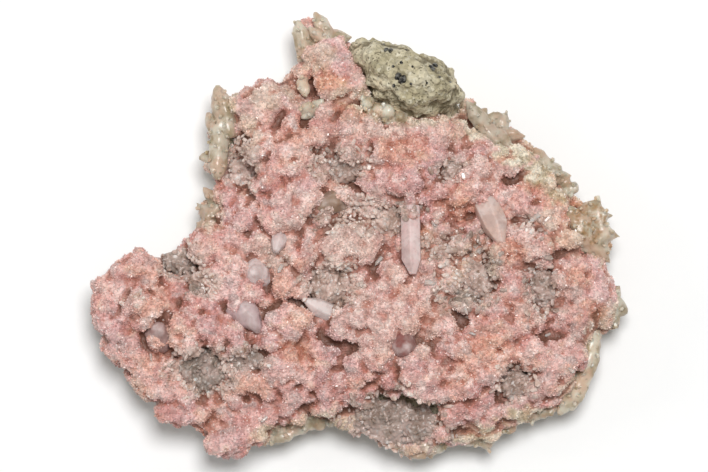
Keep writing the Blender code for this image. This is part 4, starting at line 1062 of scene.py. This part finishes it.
def build_clear_quartz(crust, look):
    """Small clear crystals lying on the crust."""
    ground = ground_of(crust.data)
    form = bmesh.new()
    shape = point_mesh()
    chance = random.Random(23)
    for x, y, length, turn in CLEAR:
        spot = ground(x + SHIFT[0], y + SHIFT[1])
        if spot is None:
            continue
        lean = Matrix.Rotation(math.radians(turn), 4, "Z") @ Matrix.Rotation(chance.uniform(1.0, 1.35), 4, "X")
        width = length * chance.uniform(0.6, 0.9) * MM
        place = Matrix.Translation(spot + Vector((0, 0, 0.15 * MM))) @ lean
        copy = shape.copy()
        copy.transform(place @ Matrix.Diagonal((width, width, length * 0.8 * MM, 1.0)))
        form.from_mesh(copy)
    piece = new_object("clear_quartz_crystals", mesh_from(form, "clear_quartz_crystals"))
    paint(piece, look)
    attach(piece, "root")


def build_rims(tree, look):
    """The crystals at the rim, with smaller blunt ones grown together on them."""
    grain = new_object("grain_form", grain_mesh())
    for i, (name, (shade, times, swell, bladed)) in enumerate(RIMS.items()):
        piece = from_node(name, name + "_pale")
        for turn, crystals in enumerate(RIM_CRYSTALS):
            store(piece.data, "cover", facing_up(piece.data, 0.1, 0.5))
            store(piece.data, "shade", np.full(len(piece.data.vertices), shade))
            spacing, *sizes = BLADE_CRYSTALS if bladed else crystals
            if turn == 1 or not bladed:
                grow(piece, tree, grain, spacing, sizes, tilt=0.8, seed=140 + i + 20 * turn, look=look)
            if turn == 0:
                remesh(piece, 0.36)
                soften(piece, times)
                set_places(piece.data, roughened(piece.data, ((1.2, 0.2, 9 + i),), swell))
                piece.data.shade_smooth()
        paint(piece, look)
        places = keep_in_box(places_of(piece.data))
        set_places(piece.data, places)
        store(piece.data, "peach", zone_strength(places, "peach"))
        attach(piece, "root")
        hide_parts(name)
    bpy.data.objects.remove(grain)


def build_studio():
    """A white floor, a soft light from above and a little beyond the specimen's top, and white light all round."""
    bpy.ops.mesh.primitive_plane_add(size=3.0)
    floor = bpy.context.object
    floor.name = "floor"
    made, tree = new_material("white_floor")
    surfaced(tree, {"Base Color": "#ffffff", "Roughness": 0.9})
    paint(floor, made)
    world = bpy.data.worlds.new("studio")
    world.use_nodes = True
    background = world.node_tree.nodes["Background"]
    background.inputs[0].default_value = (0.98, 1.0, 0.98, 1.0)
    background.inputs[1].default_value = 0.27
    bpy.context.scene.world = world
    for name, (place, size, power) in LIGHTS.items():
        light = bpy.data.lights.new(name, "AREA")
        light.shape = "DISK"
        light.size = size
        light.energy = power
        lamp = new_object(name, light)
        lamp.location = place
        lamp.rotation_euler = (-Vector(place)).to_track_quat("-Z", "Y").to_euler()
    camera = bpy.data.cameras.new("camera")
    camera.sensor_width = SENSOR
    camera.lens = SENSOR * (EYE[2] - EDGE_HEIGHT) / VIEW_WIDTH
    eye = new_object("camera", camera)
    eye.location = (EYE[0] + SHIFT[0] * MM, EYE[1] + SHIFT[1] * MM, EYE[2])
    bpy.context.scene.camera = eye
    bpy.context.scene.view_settings.view_transform = "Standard"


def main():
    build_studio()
    scatter = scatter_tree()
    point = new_object("point_form", point_mesh())
    grey = quartz("smoky_grey_quartz", grey_colour, 0.08, 0.3, 0.25)
    crust = build_crust(scatter)
    mark_surface(crust.data)
    crust.data.shade_smooth()
    paint(crust, stilbite_crust())
    build_blades(crust, scatter, stilbite_blades())
    build_free_quartz(crust, scatter, point, grey)
    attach(crust, "root")
    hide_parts("pink_stilbite_crust")
    build_rock(scatter, host_rock(), ore())
    build_druses(scatter, point, grey)
    build_prisms(quartz("milky_lilac_quartz", own_colour, 0.12, 0.52))
    build_rims(scatter, quartz("cream_quartz", olive_colour, 0.3, 0.3, 0.2))
    build_clear_quartz(crust, quartz("clear_quartz", clear_colour, 0.4, 0.12))
    bpy.data.objects.remove(point)


main()
